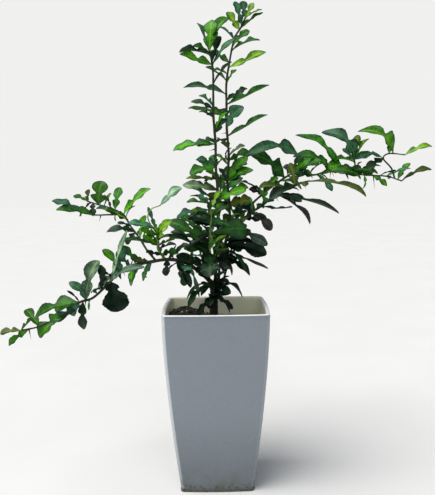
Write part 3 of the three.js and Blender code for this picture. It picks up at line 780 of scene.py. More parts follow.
def close_material(graph, colour, roughness, height=None, depth=0.001, **constants):
    """Links what changes over the surface to the shader, and sets the rest on its own sockets."""
    shader = graph.add("ShaderNodeBsdfPrincipled", {"Base Color": colour, "Roughness": roughness})
    for key, value in constants.items():
        shader.inputs[key.replace("_", " ").title().replace("Ior", "IOR")].default_value = value
    if height is not None:
        bump = graph.add("ShaderNodeBump", {"Height": height, "Distance": depth})
        graph.tree.links.new(bump.outputs[0], shader.inputs["Normal"])
    output = graph.add("ShaderNodeOutputMaterial")
    graph.tree.links.new(shader.outputs[0], output.inputs[0])


def leaf_pattern(graph):
    """From the leaf's own map: how far along and how far out from the midrib, its side veins and midrib."""
    along, across, _ = graph.split(graph.add("ShaderNodeUVMap", uv_map="UVMap").outputs[0])
    out = graph.times(graph.math("ABSOLUTE", graph.math("SUBTRACT", across, 0.5)), 2.0)
    rows = graph.math("PINGPONG", graph.times(along, LEAF_ROWS / 2), 0.5)
    side_veins = graph.times(graph.ramp(rows, 0.12, 0.0), graph.ramp(out, 1.0, 0.5))
    midrib = graph.ramp(out, 0.14, 0.03)
    return along, out, side_veins, midrib


def veined(graph, colour, base, side_veins, midrib, strength):
    """The veins, paler than the base colour of the leaf."""
    veins = graph.math("MAXIMUM", graph.times(side_veins, strength), graph.times(midrib, 0.7))
    return graph.mix(veins, colour, graph.tinged(base, VEIN_GLOW))


def leaf_upper():
    """Glossy and patchy, paler along its middle and veins, darker at its margin, dry at some tips."""
    material, graph = new_material("leaf_upper")
    tint = graph.add("ShaderNodeAttribute", attribute_name="tint").outputs
    base = tint["Color"]
    along, out, side_veins, midrib = leaf_pattern(graph)
    place = graph.place()
    patches = mottle(graph, place, 45.0, 0.35, 0.7)
    colour = graph.mix(patches, graph.tinged(base, paint("leaf_patch")), base)
    colour = graph.laid(colour, graph.ramp(out, 0.75, 0.0), graph.tinged(colour, CENTRE_GLOW), 0.8)
    colour = veined(graph, colour, base, side_veins, midrib, 0.45)
    colour = graph.laid(colour, graph.ramp(out, 0.7, 1.0), graph.tinged(base, paint("leaf_edge")), 0.85)
    colour = graph.laid(colour, graph.ramp(along, *DRY_FROM_TO), paint("dry_tip"), tint["Alpha"])
    roughness = graph.ramp(graph.noise(place, 90.0), 0.3, 0.7, 0.36, 0.52)
    height = graph.math("SUBTRACT", graph.noise(place, 260.0, 3.0), graph.times(side_veins, 0.6))
    close_material(graph, colour, roughness, height, 0.0005, coat_weight=0.08, **LEAF_SHEEN)
    return material


def leaf_under():
    """Matt and paler, with raised veins."""
    material, graph = new_material("leaf_under")
    tint = graph.add("ShaderNodeAttribute", attribute_name="tint").outputs
    along, _, side_veins, midrib = leaf_pattern(graph)
    place = graph.place()
    matt = graph.mix(0.2, tint["Color"], paint("matt_leaf"))
    patches = mottle(graph, place, 70.0, 0.3, 0.7)
    colour = graph.mix(patches, graph.tinged(matt, paint("matt_patch")), matt)
    colour = veined(graph, colour, matt, side_veins, midrib, 0.5)
    colour = graph.laid(colour, graph.ramp(along, *DRY_FROM_TO), paint("dry_under"), tint["Alpha"])
    roughness = graph.ramp(graph.noise(place, 120.0), 0.3, 0.7, 0.55, 0.7)
    height = graph.math("ADD", graph.noise(place, 300.0, 3.0), side_veins)
    close_material(graph, colour, roughness, height, 0.0004, **LEAF_SHEEN)
    return material


def bark(kind, rough):
    """Bark that is green where the wood is young and brown where it is old."""
    material, graph = new_material(kind + "_bark")
    age = graph.add("ShaderNodeAttribute", attribute_name="age").outputs["Fac"]
    place = graph.place()
    patches = mottle(graph, place, 90.0, 0.35, 0.65)
    colour = graph.mix(age, paint(kind + "_green"), paint(kind + "_brown"))
    colour = graph.laid(colour, patches, graph.tinged(colour, paint(kind + "_streak")), 0.55)
    grain = graph.noise(place, 420.0, 4.0, (1, 1, 0.16))
    colour = graph.mix(graph.ramp(grain, 0.58, 0.75), colour, graph.mix(0.3, colour, paint("bark_grain")))
    pores = speckle(graph, place, 380.0, 0.25)
    colour = graph.laid(colour, pores, paint("bark_pore"), 0.3)
    height = graph.math("ADD", grain, graph.times(pores, 0.5))
    close_material(graph, colour, graph.ramp(grain, 0.3, 0.7, rough - 0.08, rough + 0.1), height, 0.0012)
    return material


def thorn_horn():
    material, graph = new_material("thorn_horn")
    place = graph.place()
    patches = mottle(graph, place, 160.0)
    colour = graph.mix(patches, paint("thorn"), paint("thorn_patch"))
    close_material(graph, colour, graph.ramp(patches, 0, 1, 0.35, 0.5), graph.noise(place, 500.0), 0.0003)
    return material


def pot_glaze():
    """Glossy grey-blue outside, with a painted highlight along its corners and painted shade darkening it
    towards the foot, and splashed with soil at the foot.
    """
    material, graph = new_material("pot_glaze")
    place = graph.place()
    x, y, low = graph.split(place)
    colour = graph.mix(mottle(graph, place, 5.0, 0.3, 0.7), paint("glaze"), paint("glaze_cloud"))
    runs = graph.ramp(graph.noise(place, 60.0, 3.0, (1, 1, 0.05)), 0.6, 0.75)
    colour = graph.laid(colour, runs, paint("glaze_run"), 0.07)
    # Painted highlight: a pale line down the corners where they catch the light, strong on the left corners
    # and faint on the right.
    off_corner = graph.math("SUBTRACT", graph.math("ABSOLUTE", x), graph.math("ABSOLUTE", y))
    corner = graph.ramp(graph.math("ABSOLUTE", off_corner), *CORNER_HIGHLIGHT)
    colour = graph.laid(colour, corner, paint("glaze_corner_highlight"), graph.ramp(x, *HIGHLIGHT_SIDES))
    # Painted shade: the glaze grows darker towards the foot.
    colour = graph.mix(graph.ramp(low, *PAINTED_SHADE_FROM_TO), colour, graph.tinged(colour, paint("glaze_painted_shade")))
    dirt = graph.times(graph.ramp(low, *DIRT_FROM_TO), mottle(graph, place, 34.0, 0.38, 0.66))
    colour = graph.laid(colour, dirt, paint("glaze_dirt"), 0.7)
    colour = graph.laid(colour, graph.ramp(low, *FOOT_FROM_TO), paint("glaze_foot"), 0.9)
    spots = graph.times(speckle(graph, place, 120.0, 0.16), graph.ramp(low, *SPOTS_FROM_TO))
    crusts = graph.times(speckle(graph, place, 85.0, 0.7), graph.ramp(low, *CRUSTS_FROM_TO))
    colour = graph.laid(colour, graph.math("MAXIMUM", spots, crusts), paint("glaze_spot"), 0.9)
    scuffs = mottle(graph, place, 24.0, 0.45, 0.7)
    roughness = graph.math("ADD", graph.ramp(scuffs, 0, 1, 0.26, 0.32), graph.times(dirt, 0.4))
    height = graph.math("ADD", graph.noise(place, 8.0, 2.0), graph.times(dirt, 0.15))
    close_material(graph, colour, roughness, height, 0.0006, coat_weight=0.6, coat_roughness=0.1)
    return material


def pot_lip():
    """Pale lip with grey scuffs: partly worn paler, and partly painted light, its white standing for the rim
    lit from above.
    """
    material, graph = new_material("pot_lip")
    place = graph.place()
    scuffs = mottle(graph, place, 60.0, 0.5, 0.68)
    colour = graph.laid(paint("lip"), scuffs, paint("lip_scuff"), 0.3)
    colour = graph.laid(colour, speckle(graph, place, 150.0, 0.14), paint("lip_grit"), 0.6)
    close_material(graph, colour, graph.ramp(scuffs, 0, 1, 0.25, 0.45), graph.noise(place, 30.0), 0.0008)
    return material


def pot_inside():
    """Khaki inside wall, stained by soil and water up to its tide line."""
    material, graph = new_material("pot_inside")
    place = graph.place()
    height = graph.split(place)["Z"]
    clouds = mottle(graph, place, 16.0, 0.35, 0.65)
    colour = graph.mix(clouds, paint("inside"), paint("inside_cloud"))
    line = graph.math("ADD", height, graph.times(graph.noise(place, 30.0), -0.02))
    colour = graph.laid(colour, graph.ramp(line, *TIDE_LINE), paint("inside_stain"), 0.8)
    colour = graph.laid(colour, speckle(graph, place, 170.0, 0.18), paint("inside_grit"), 0.55)
    close_material(graph, colour, graph.ramp(clouds, 0, 1, 0.45, 0.6), graph.noise(place, 60.0), 0.0008)
    return material


def potting_soil():
    material, graph = new_material("potting_soil")
    place = graph.place()
    clods = mottle(graph, place, 130.0, 0.35, 0.65)
    colour = graph.mix(clods, paint("soil"), paint("soil_clod"))
    bits = speckle(graph, place, 260.0, 0.22)
    colour = graph.laid(colour, bits, paint("soil_bit"), 0.5)
    height = graph.math("ADD", graph.noise(place, 200.0, 6.0), bits)
    close_material(graph, colour, graph.ramp(clods, 0, 1, 0.8, 0.95), height, 0.004)
    return material


def crumb(name, rough):
    """A fine rough grain, in its own tone with patches of another."""
    material, graph = new_material(name)
    place = graph.place()
    colour = graph.mix(mottle(graph, place, 320.0), paint(name), paint(name + "_patch"))
    grain = graph.noise(place, 700.0)
    close_material(graph, colour, graph.ramp(grain, 0.3, 0.7, rough - 0.1, rough), grain, 0.001)
    return material


def stage_floor():
    material, graph = new_material("stage_floor")
    place = graph.place()
    colour = graph.mix(mottle(graph, place, 1.5), paint("floor"), paint("floor_cloud"))
    close_material(graph, colour, graph.ramp(graph.noise(place, 6.0), 0.3, 0.7, 0.6, 0.7))
    return material


# Planter

def pot_half(z):
    depth = max(0.0, 1 - z / POT_HEIGHT)
    return POT_FOOT_HALF + (POT_TOP_HALF - POT_FOOT_HALF) * (1 - depth ** POT_CURVE)


def pot_profile():
    """Half width and height up the outside, over the lip and down the inside to the floor."""
    rows = [
        (POT_FOOT_HALF + FOOT_LIP_PROUD, FOOT_LIP_HEIGHT),
        (pot_half(FOOT_LIP_HEIGHT), FOOT_LIP_HEIGHT + FOOT_LIP_PROUD),
    ]
    rim_start = POT_HEIGHT - LIP_ROUND
    rise = rim_start - FOOT_LIP_HEIGHT
    for step in range(1, POT_OUTSIDE_STEPS):
        z = FOOT_LIP_HEIGHT + rise * step / POT_OUTSIDE_STEPS
        rows.append((pot_half(z), z))
    inner = POT_TOP_HALF - LIP_WIDTH
    for angle in map(math.radians, LIP_ROUND_ANGLES):
        z = rim_start + LIP_ROUND * math.sin(angle)
        rows.append((POT_TOP_HALF - LIP_ROUND * (1 - math.cos(angle)), z))
    for angle in map(math.radians, reversed(LIP_ROUND_ANGLES)):
        z = rim_start + LIP_ROUND * math.sin(angle)
        rows.append((inner + LIP_ROUND * (1 - math.cos(angle)), z))
    rows.append((inner, POT_HEIGHT - LIP_DEPTH))
    under_lip = POT_HEIGHT - LIP_DEPTH - LIP_FADE
    for step in range(POT_OUTSIDE_STEPS, -1, -1):
        z = POT_FLOOR + (under_lip - POT_FLOOR) * step / POT_OUTSIDE_STEPS
        rows.append((pot_half(z) - POT_WALL, z))
    return rows


def at_corner(edge):
    """Whether an edge runs up one corner of the planter."""
    first, second = (vertex.co for vertex in edge.verts)
    one_corner = first.x * second.x > 0 and first.y * second.y > 0
    return one_corner and all(abs(abs(place.x) - abs(place.y)) < NEAR for place in (first, second))


def planter():
    profile = pot_profile()
    half, z = profile[0]
    bpy.ops.mesh.primitive_cube_add(size=1, location=(0, 0, z / 2))
    pot = added("planter", (2 * half, 2 * half, z))
    bpy.ops.object.mode_set(mode="EDIT")
    pick(pot, "faces", lambda face: face.normal.z > FACING)
    for next_half, next_z in profile[1:]:
        bpy.ops.mesh.extrude_region_move(TRANSFORM_OT_translate={"value": (0, 0, next_z - z)})
        share = next_half / half
        bpy.ops.transform.resize(value=(share, share, 1), center_override=(0, 0, 0))
        half, z = next_half, next_z
    pick(pot, "edges", at_corner)
    bpy.ops.mesh.bevel(offset=POT_CORNER, segments=POT_CORNER_STEPS, clamp_overlap=False)
    for share in POT_SIDE_CUTS:
        for normal in ((1, 0, 0), (0, 1, 0)):
            bpy.ops.mesh.select_all(action="SELECT")
            place = tuple(axis * share * POT_FOOT_HALF for axis in normal)
            bpy.ops.mesh.bisect(plane_co=place, plane_no=normal)
    bpy.ops.mesh.select_all(action="SELECT")
    bpy.ops.mesh.remove_doubles(threshold=NEAR)
    bpy.ops.mesh.normals_make_consistent(inside=False)
    bpy.ops.object.mode_set(mode="OBJECT")
    bow_sides(pot)
    for x in (-DRAIN_OFFSET, DRAIN_OFFSET):
        for y in (-DRAIN_OFFSET, DRAIN_OFFSET):
            drill(pot, x, y)
    for material in (pot_glaze(), pot_lip(), pot_inside()):
        pot.data.materials.append(material)
    for face in pot.data.polygons:
        face.material_index = pot_finish(face)
    smooth(pot, angle=35)
    dress(pot, "pot")


def bow_sides(pot):
    """The four sides swell a little in their middle."""
    for vertex in pot.data.vertices:
        across, out = sorted((abs(vertex.co.x), abs(vertex.co.y)))
        flat = max(TINY, out - POT_CORNER)
        swell = POT_SIDE_BULGE * (out / POT_TOP_HALF) * max(0.0, 1 - (across / flat) ** 2)
        axis = 0 if abs(vertex.co.x) == out else 1
        if out > POT_FOOT_HALF / 2:
            vertex.co[axis] += math.copysign(swell, vertex.co[axis])


def drill(pot, x, y):
    bpy.ops.object.select_all(action="DESELECT")
    bpy.ops.mesh.primitive_cylinder_add(
        vertices=DRAIN_SIDES, radius=DRAIN_RADIUS, depth=DRAIN_CUT, location=(x, y, 0)
    )
    cutter = added("drain_cutter")
    apply_modifier(pot, "BOOLEAN", object=cutter, operation="DIFFERENCE", solver="EXACT")
    bpy.data.objects.remove(cutter)


def pot_finish(face):
    """The slot of a face of the planter: 0 outside, 1 lip, 2 inside."""
    centre, normal = face.center, face.normal
    out = max(abs(centre.x), abs(centre.y))
    upward = normal.z > PARTLY_FACING
    # The back inner lip takes the inside finish; the rest of the lip, the side inner lips too, takes the
    # white lip paint, partly painted light.
    if centre.z > POT_HEIGHT - LIP_DEPTH and (upward or out < POT_TOP_HALF - LIP_WIDTH / 2):
        return 2 if centre.y > abs(centre.x) and normal.y < -PARTLY_FACING else 1
    inward = centre.x * normal.x + centre.y * normal.y < 0
    if inward or (upward and centre.z < POT_HEIGHT / 2 and out < POT_FOOT_HALF - POT_WALL):
        return 2
    return 0


# Soil

def soil_height(x, y):
    away = (x - MOUND_CENTRE[0]) ** 2 + (y - MOUND_CENTRE[1]) ** 2
    return SOIL_LEVEL + MOUND_HEIGHT * math.exp(-away / (2 * MOUND_SPREAD ** 2))


def to_wall(x, y, half):
    """A point of the square from -1 to 1 put into the planter's rounded and bowed outline."""
    u, v = abs(x), abs(y)
    straight = 1 - POT_CORNER / half
    if u > straight and v > straight:
        a = (u - straight) / (1 - straight)
        b = (v - straight) / (1 - straight)
        u = straight + (1 - straight) * a * math.sqrt(1 - b * b / 2)
        v = straight + (1 - straight) * b * math.sqrt(1 - a * a / 2)
    swell = POT_SIDE_BULGE * half / POT_TOP_HALF
    bowed_x = half * u + swell * (1 - min(1, v) ** 2) * u
    bowed_y = half * v + swell * (1 - min(1, u) ** 2) * v
    return math.copysign(bowed_x, x), math.copysign(bowed_y, y)


def soil_relief(x, y):
    """Clods and hollows on the soil, none of them at the wall."""
    point = Vector((x, y, 0))
    clods = noise.fractal(point * CLOD_GRAIN, *CLOD_NOISE) + GRIT_SHARE * noise.noise(point * GRIT_GRAIN)
    edge = max(abs(x), abs(y)) / POT_TOP_HALF
    return SOIL_CLODS * clods * min(1, CLODS_FADE * max(0, CLODS_UP_TO - edge))


def soil_bed():
    bpy.ops.object.select_all(action="DESELECT")
    bpy.ops.mesh.primitive_grid_add(x_subdivisions=SOIL_CELLS, y_subdivisions=SOIL_CELLS, size=2)
    bed = added("soil_bed")
    half = pot_half(SOIL_LEVEL) - POT_WALL - SOIL_GAP
    points = points_of(bed)
    for row in points:
        row[0], row[1] = to_wall(row[0], row[1], half)
        row[2] = soil_height(row[0], row[1]) + soil_relief(row[0], row[1])
    bed.data.vertices.foreach_set("co", points.astype(np.float32).ravel())
    bpy.ops.object.mode_set(mode="EDIT")
    pick(bed, "edges", lambda edge: edge.is_boundary)
    bpy.ops.mesh.extrude_edges_move(TRANSFORM_OT_translate={"value": (0, 0, SOIL_DEPTHS[0] - SOIL_LEVEL)})
    for z, lower in zip(SOIL_DEPTHS, (*SOIL_DEPTHS[1:], None)):
        share = (pot_half(z) - POT_WALL - SOIL_GAP) / half
        bpy.ops.transform.resize(value=(share, share, 0 if lower is None else 1), center_override=(0, 0, z))
        half *= share
        if lower is not None:
            bpy.ops.mesh.extrude_edges_move(TRANSFORM_OT_translate={"value": (0, 0, lower - z)})
    bpy.ops.mesh.edge_face_add()
    bpy.ops.mesh.select_all(action="SELECT")
    bpy.ops.mesh.normals_make_consistent(inside=False)
    bpy.ops.object.mode_set(mode="OBJECT")
    bed.data.materials.append(potting_soil())
    smooth(bed, angle=60)
    dress(bed, "soil")


def crumb_master(material, cells):
    """A rough grain with a radius of a metre, to be scaled down."""
    bpy.ops.object.select_all(action="DESELECT")
    bpy.ops.mesh.primitive_ico_sphere_add(subdivisions=cells, radius=1)
    grain = added("grain_master")
    points = points_of(grain)
    for row in points:
        row *= 1 + GRAIN_RELIEF * noise.noise(Vector(row) * GRAIN_LUMPS)
    grain.data.vertices.foreach_set("co", points.astype(np.float32).ravel())
    grain.data.materials.append(material)
    smooth(grain, angle=180)
    return grain


def on_soil(draw):
    """A place on the soil clear of the wall."""
    reach = POT_TOP_HALF - POT_WALL - LIP_WIDTH
    x, y = draw.uniform(-reach, reach), draw.uniform(-reach, reach)
    return x, y, soil_height(x, y) + soil_relief(x, y)


def scattered(name, master, kind):
    """Copies of one grain strewn over the soil, joined in one piece."""
    draw = random.Random(kind["seed"])
    shape = points_of(master)
    grains = []
    for _ in range(kind["count"]):
        x, y, z = on_soil(draw)
        size = draw.uniform(*kind["sizes"])
        scale = size * np.array([draw.uniform(*GRAIN_STRETCH), draw.uniform(*GRAIN_STRETCH), kind["flat"]])
        spin = Matrix.Rotation(draw.uniform(0, 2 * math.pi), 3, "Z")
        spin = spin @ Matrix.Rotation(draw.uniform(*GRAIN_TILT), 3, "X")
        grains.append(copy_of(master, (shape * scale) @ np.array(spin).T + (x, y, z + GRAIN_LIFT * size)))
    bpy.data.objects.remove(master)
    dress(joined(name, grains), "soil")


def soil_litter():
    for name, kind in LITTER.items():
        material = crumb(kind["material"], kind["rough"])
        scattered(name, crumb_master(material, kind["cells"]), kind)


# Routes and the rule for leaves, in the part's millimetres

def point_on(route, share):
    """A smooth curve through the route's points, run on straight past its ends."""
    points = np.array(route, dtype=float)
    spans = len(points) - 1
    place = spans * share
    first = min(int(place), spans - 1)
    t = place - first
    before = points[first - 1] if first > 0 else 2 * points[0] - points[1]
    start, end = points[first], points[first + 1]
    after = points[first + 2] if first + 2 <= spans else 2 * points[-1] - points[-2]
    leave = 0.5 * (end - before)
    arrive = 0.5 * (after - start)
    return (
        start + leave * t + (-3 * start + 3 * end - 2 * leave - arrive) * t ** 2
        + (2 * start - 2 * end + leave + arrive) * t ** 3
    )


def unit(vector):
    return vector / np.linalg.norm(vector)


def direction_on(route, share):
    step = 0.0001
    return unit(point_on(route, min(1, share + step)) - point_on(route, max(0, share - step)))


def draws_from(seed):
    """Repeatable draws between two values."""
    state = (seed * SEED_FACTOR) % DRAW_MODULUS

    def draw(low, high):
        nonlocal state
        state = (state * DRAW_FACTOR) % DRAW_MODULUS
        return low + (high - low) * state / DRAW_MODULUS
    return draw


def heading_vector(heading, lean):
    h, e = math.radians(heading), math.radians(lean)
    return np.array([math.cos(h) * math.cos(e), -math.sin(e), math.sin(h) * math.cos(e)])


def filling_row(route, k, count, start, end, length, draw):
    """Where a leaf of a golden-angle run goes, as place, heading, lean and length."""
    place = start + (end - start) * (k + draw(*PLACE_DRIFT)) / count
    tangent = direction_on(route, place / (len(route) - 1))
    turn = math.radians(GOLDEN_ANGLE * k + draw(*GOLDEN_DRIFT))
    opening = math.radians(draw(*OPENING))
    side = unit(np.cross(FIRST_SIDE, tangent))
    other = np.cross(tangent, side)
    around = side * math.cos(turn) + other * math.sin(turn)
    along = unit(tangent * math.cos(opening) + around * math.sin(opening) + np.array([0, 0, LEAF_LIFT]))
    heading = math.degrees(math.atan2(along[2], along[0]))
    lean = math.degrees(-math.asin(along[1]))
    return (place, heading, lean, length * draw(*LENGTH_SHARE), None)


def leaves_of(stem, draw):
    """Every leaf of a route, the shown ones first, each with its own width, turn, arch and wing."""
    rows = list(stem.get("shown", ()))
    count, start, length = stem.get("filling", (0, 0, 0))
    for k in range(count):
        rows.append(filling_row(stem["route"], k, count, start, len(stem["route"]) - 1, length, draw))
    leaves = []
    for place, heading, lean, length, kind, *own in rows:
        leaf = {"place": place, "heading": heading, "lean": lean, "length": length, "tone": kind}
        leaf["width"] = (LEAF_WIDTH[0] + LEAF_WIDTH[1] * length) * draw(*WIDTH_SHARE)
        leaf["turn"] = draw(*TURN)
        leaf["arch"] = draw(*ARCH)
        leaf["wing"] = draw(*WING)
        leaf.update(*own)
        leaves.append(leaf)
    return leaves


def leaf_axes(leaf, bend):
    """Along the leaf, up to the light, out of its upper face, and across it."""
    along = heading_vector(leaf["heading"], leaf["lean"] + bend)
    face = unit(LIGHT - LIGHT.dot(along) * along)
    turn = math.radians(leaf["turn"])
    normal = face * math.cos(turn) + np.cross(along, face) * math.sin(turn)
    return along, face, normal, np.cross(along, normal)


def tip_corners(base, leaf, bend):
    """The two corners that the part's leaf has at its tip."""
    along, _, _, across = leaf_axes(leaf, bend)
    share = SMALL_TIP_SHARE if leaf["length"] < SMALL_LEAF else TIP_SHARE
    half = max(STALK_HALF, share * leaf["width"] / 2)
    tip = base + along * leaf["length"]
    return tip + across * half, tip - across * half


def bend_of(base, leaf, corners):
    """How far the part bent this leaf clear of its neighbours, or None where it left it out."""
    def misses(bend):
        return sum(corners.find(corner * MM)[2] for corner in tip_corners(base, leaf, bend))
    best = min(BENDS, key=misses)
    return best if misses(best) < 2 * SAME_PLACE * MM else None


def corners_of(node):
    tree = KDTree(len(node.data.vertices))
    for index, vertex in enumerate(node.data.vertices):
        tree.insert(vertex.co, index)
    tree.balance()
    return tree


# Leaf shape

def leaf_share(s):
    """The half width at s along the leaf, as a share of the blade's."""
    if s < LEAF_JOINT:
        t = s / LEAF_JOINT
        wing = MASTER_WING * math.sin(math.pi * t ** WING_PEAK) ** WING_ROUND if 0 < t < 1 else 0
        return max(STALK_SHARE, JOINT_SHARE * t ** 4, wing)
    t = (s - LEAF_JOINT) / (1 - LEAF_JOINT)
    blade = math.sin(math.pi * t ** BLADE_PEAK) ** BLADE_ROUND if 0 < t < 1 else 0
    return max(JOINT_SHARE * (1 - t), blade, TIP_LEAST)


def leaf_master(materials):
    """One leaf at full size: a grid drawn in row by row, quilted between its veins and thickened."""
    bpy.ops.object.select_all(action="DESELECT")
    bpy.ops.mesh.primitive_grid_add(
        x_subdivisions=LEAF_ROWS, y_subdivisions=LEAF_COLUMNS, size=1, location=(LEAF_LENGTH / 2, 0, 0)
    )
    leaf = added("leaf_master", (LEAF_LENGTH, 2 * LEAF_HALF, 1))
    bpy.ops.object.mode_set(mode="EDIT")
    for row in range(LEAF_ROWS + 1):
        x = LEAF_LENGTH * row / LEAF_ROWS
        pick(leaf, "verts", lambda v: abs(v.co.x - x) < NEAR)
        bpy.ops.transform.resize(value=(1, leaf_share(row / LEAF_ROWS), 1), center_override=(x, 0, 0))
    bpy.ops.object.mode_set(mode="OBJECT")
    quilt(leaf)
    for material in materials:
        leaf.data.materials.append(material)
    apply_modifier(leaf, "SOLIDIFY", thickness=LEAF_THICKNESS, offset=-1, material_offset=1)
    for vertex in leaf.data.vertices:
        if abs(vertex.co.y) < NEAR and vertex.co.z < -MIDRIB_SINK - LEAF_THICKNESS / 2:
            stalk = max(0, 1 - vertex.co.x / (LEAF_LENGTH * WING_START))
            vertex.co.z -= MIDRIB_KEEL + STALK_KEEL * stalk
    leaf.data.attributes.new("tint", "FLOAT_COLOR", "POINT")
    smooth(leaf, angle=60)
    return leaf


def quilt(leaf):
    """The rows slant forward with the side veins, swell between them and scallop the margin."""
    for vertex in leaf.data.vertices:
        row = round(LEAF_ROWS * vertex.co.x / LEAF_LENGTH)
        half = LEAF_HALF * leaf_share(row / LEAF_ROWS)
        out = abs(vertex.co.y) / half
        between = row % 2 == 1
        vertex.co.x += ROW_SLANT * half * out if row < LEAF_ROWS else 0
        if out < AT_MIDRIB:
            vertex.co.z -= MIDRIB_SINK
        elif out > AT_MARGIN:
            vertex.co.y *= SCALLOP if between else 1
            vertex.co.z -= QUILT
        else:
            vertex.co.z += QUILT if between else -QUILT


def laid_leaf(shape, base, leaf, bend, draw):
    """The points of the master put where this leaf grows: arched, folded, twisted and waved."""
    along, face, normal, across = leaf_axes(leaf, bend)
    length, half = leaf["length"] * MM, leaf["width"] / 2 * leaf.get("broad", 1) * MM
    s = shape[:, 0] / LEAF_LENGTH
    out = shape[:, 1] / LEAF_HALF
    before_joint = 1 - smooth_step((s - LEAF_JOINT + JOINT_LEAD) / JOINT_SPAN)
    out = out * (1 + before_joint * (leaf["wing"] / MASTER_WING - 1))
    towards_tip = np.clip((s - TAPER_FROM) / (1 - TAPER_FROM), 0, 1)
    s = np.interp(s, (0, LEAF_JOINT, 1), (0, leaf.get("joint", LEAF_JOINT), 1))
    taper, fold = draw.uniform(*TIP_TAPER), draw.uniform(*FOLD)
    out = out * (1 - leaf.get("taper", taper) * towards_tip ** 2)
    fold = math.radians(leaf.get("fold", fold))
    wave = half * draw.uniform(*WAVE)
    phase, waves = draw.uniform(0, 1), draw.uniform(*WAVES)
    curl = length * draw.uniform(*TIP_CURL)
    side = out * half * math.cos(fold)
    lift = np.abs(out) * half * math.sin(fold) + wave * np.sin(2 * math.pi * (waves * s + phase)) * out ** 2
    lift += shape[:, 2]
    twist = math.radians(draw.uniform(*TWIST)) * (s - TWIST_FROM)
    crosswise = side * np.cos(twist) - lift * np.sin(twist)
    upward = side * np.sin(twist) + lift * np.cos(twist)
    arch = leaf["arch"] * length * 4 * s * (1 - s) - curl * np.clip(s - CURL_FROM, 0, 1) ** 2
    points = base * MM + np.outer(s * length, along) + np.outer(arch, face)
    return points + np.outer(crosswise, across) + np.outer(upward, normal)


def smooth_step(value):
    t = np.clip(value, 0, 1)
    return t * t * (3 - 2 * t)


def tinted(piece, name, draw):
    """Gives a leaf its own tone, near that of its kind, and a dry tip or none."""
    red, green, blue, _ = tone(*TONES[name])
    light = draw.uniform(*TONE_LIGHT)
    warm = draw.uniform(*TONE_WARM)
    dry = 1.0 if draw.random() < DRY_TIPS else 0.0
    colour = (red * light * warm, green * light, blue * light / warm, dry)
    count = len(piece.data.vertices)
    values = np.tile(np.array(colour, dtype=np.float32), count)
    piece.data.attributes["tint"].data.foreach_set("color", values)


def leaves_on(stem, draw, corners, master, looks, tones):
    """The leaves of one route, each where the part has it."""
    shape = points_of(master)
    spans = len(stem["route"]) - 1
    pieces = []
    for leaf in leaves_of(stem, draw):
        base = point_on(stem["route"], leaf["place"] / spans)
        bend = bend_of(base, leaf, corners)
        if bend is None:
            continue
        piece = copy_of(master, laid_leaf(shape, base, leaf, bend, looks))
        tinted(piece, leaf["tone"] or looks.choice(tones), looks)
        pieces.append(piece)
    return pieces


def extra_leaves(name, route, master):
    """The leaves seen in front, and small slim bowed ones between the others in a golden-angle run."""
    looks = random.Random(name + "_extra")
    draw = draws_from(SLIM_SEED + STEMS[name]["seed"])
    rows = list(FRONT_LEAVES.get(name, ()))
    count, start, end, length, tones = SLIM_LEAVES.get(name, (0, 0, 0, 0, ()))
    for k in range(count):
        row = filling_row(route, k, count, start, end, length, draw)
        slim = {"width": row[3] * draw(*SLIM_WIDTH), "arch": draw(*SLIM_ARCH)}
        rows.append((*row[:4], looks.choice(tones), slim))
    shape = points_of(master)
    pieces = []
    for place, heading, lean, own_length, kind, own in rows:
        leaf = {"heading": heading, "lean": lean, "length": own_length, "turn": draw(*TURN)}
        leaf["arch"] = draw(*ARCH)
        leaf["wing"] = draw(*WING)
        leaf.update(own)
        base = point_on(route, place / (len(route) - 1))
        piece = copy_of(master, laid_leaf(shape, base, leaf, 0, looks))
        tinted(piece, kind, looks)
        pieces.append(piece)
    return pieces


# Wood

def limb(name, route, radius_at, start, end):
    """A round stem along a stretch of its route, in metres."""
    spans = len(route) - 1
    rings = max(3, round((end - start) * SPAN_RINGS))
    curve = bpy.data.curves.new(name, "CURVE")
    curve.dimensions = "3D"
    curve.bevel_depth = 1
    curve.bevel_resolution = STEM_RESOLUTION
    curve.use_fill_caps = True
    line = curve.splines.new("POLY")
    line.points.add(rings)
    for i, point in enumerate(line.points):
        place = start + (end - start) * i / rings
        point.co = (*(point_on(route, place / spans) * MM), 1)
        point.radius = radius_at(place) * MM
    piece = bpy.data.objects.new(name, curve)
    bpy.context.scene.collection.objects.link(piece)
    only(piece)
    bpy.ops.object.convert(target="MESH")
    piece = bpy.context.active_object
    bpy.ops.object.mode_set(mode="EDIT")
    bpy.ops.mesh.select_all(action="SELECT")
    bpy.ops.mesh.remove_doubles(threshold=TINY)
    bpy.ops.mesh.normals_make_consistent(inside=False)
    bpy.ops.object.mode_set(mode="OBJECT")
    return piece


def aged(piece, route, radius_at):
    """Marks how old the wood is by how thick it is there."""
    spans = len(route) - 1
    places = [spans * i / AGE_STEPS for i in range(AGE_STEPS + 1)]
    tree = KDTree(len(places))
    for i, place in enumerate(places):
        tree.insert(point_on(route, place / spans) * MM, i)
    tree.balance()
    age = piece.data.attributes.new("age", "FLOAT", "POINT")
    for i, vertex in enumerate(piece.data.vertices):
        radius = radius_at(places[tree.find(vertex.co)[1]])
        age.data[i].value = min(1, max(0, (radius - YOUNG_RADIUS) / (OLD_RADIUS - YOUNG_RADIUS)))
    return piece


def roughened(piece, depth, grain):
    """Pushes the surface in and out by noise along its normals."""
    normals = [vertex.normal.copy() for vertex in piece.data.vertices]
    for vertex, normal in zip(piece.data.vertices, normals):
        vertex.co += normal * depth * noise.fractal(vertex.co * grain, *RELIEF_NOISE)
    return piece


def tapering(stem):
    """The radius at a place on a stem, swollen where leaves leave it."""
    spans = len(stem["route"]) - 1
    joints = [row[0] for row in stem.get("shown", ())]
    first, last = stem["radii"]

    def radius_at(place):
        swell = sum(math.exp(-(((place - joint) / NODE_REACH) ** 2)) for joint in joints)
        return first + (last - first) * place / spans + NODE_SWELL * min(1, swell)
    return radius_at


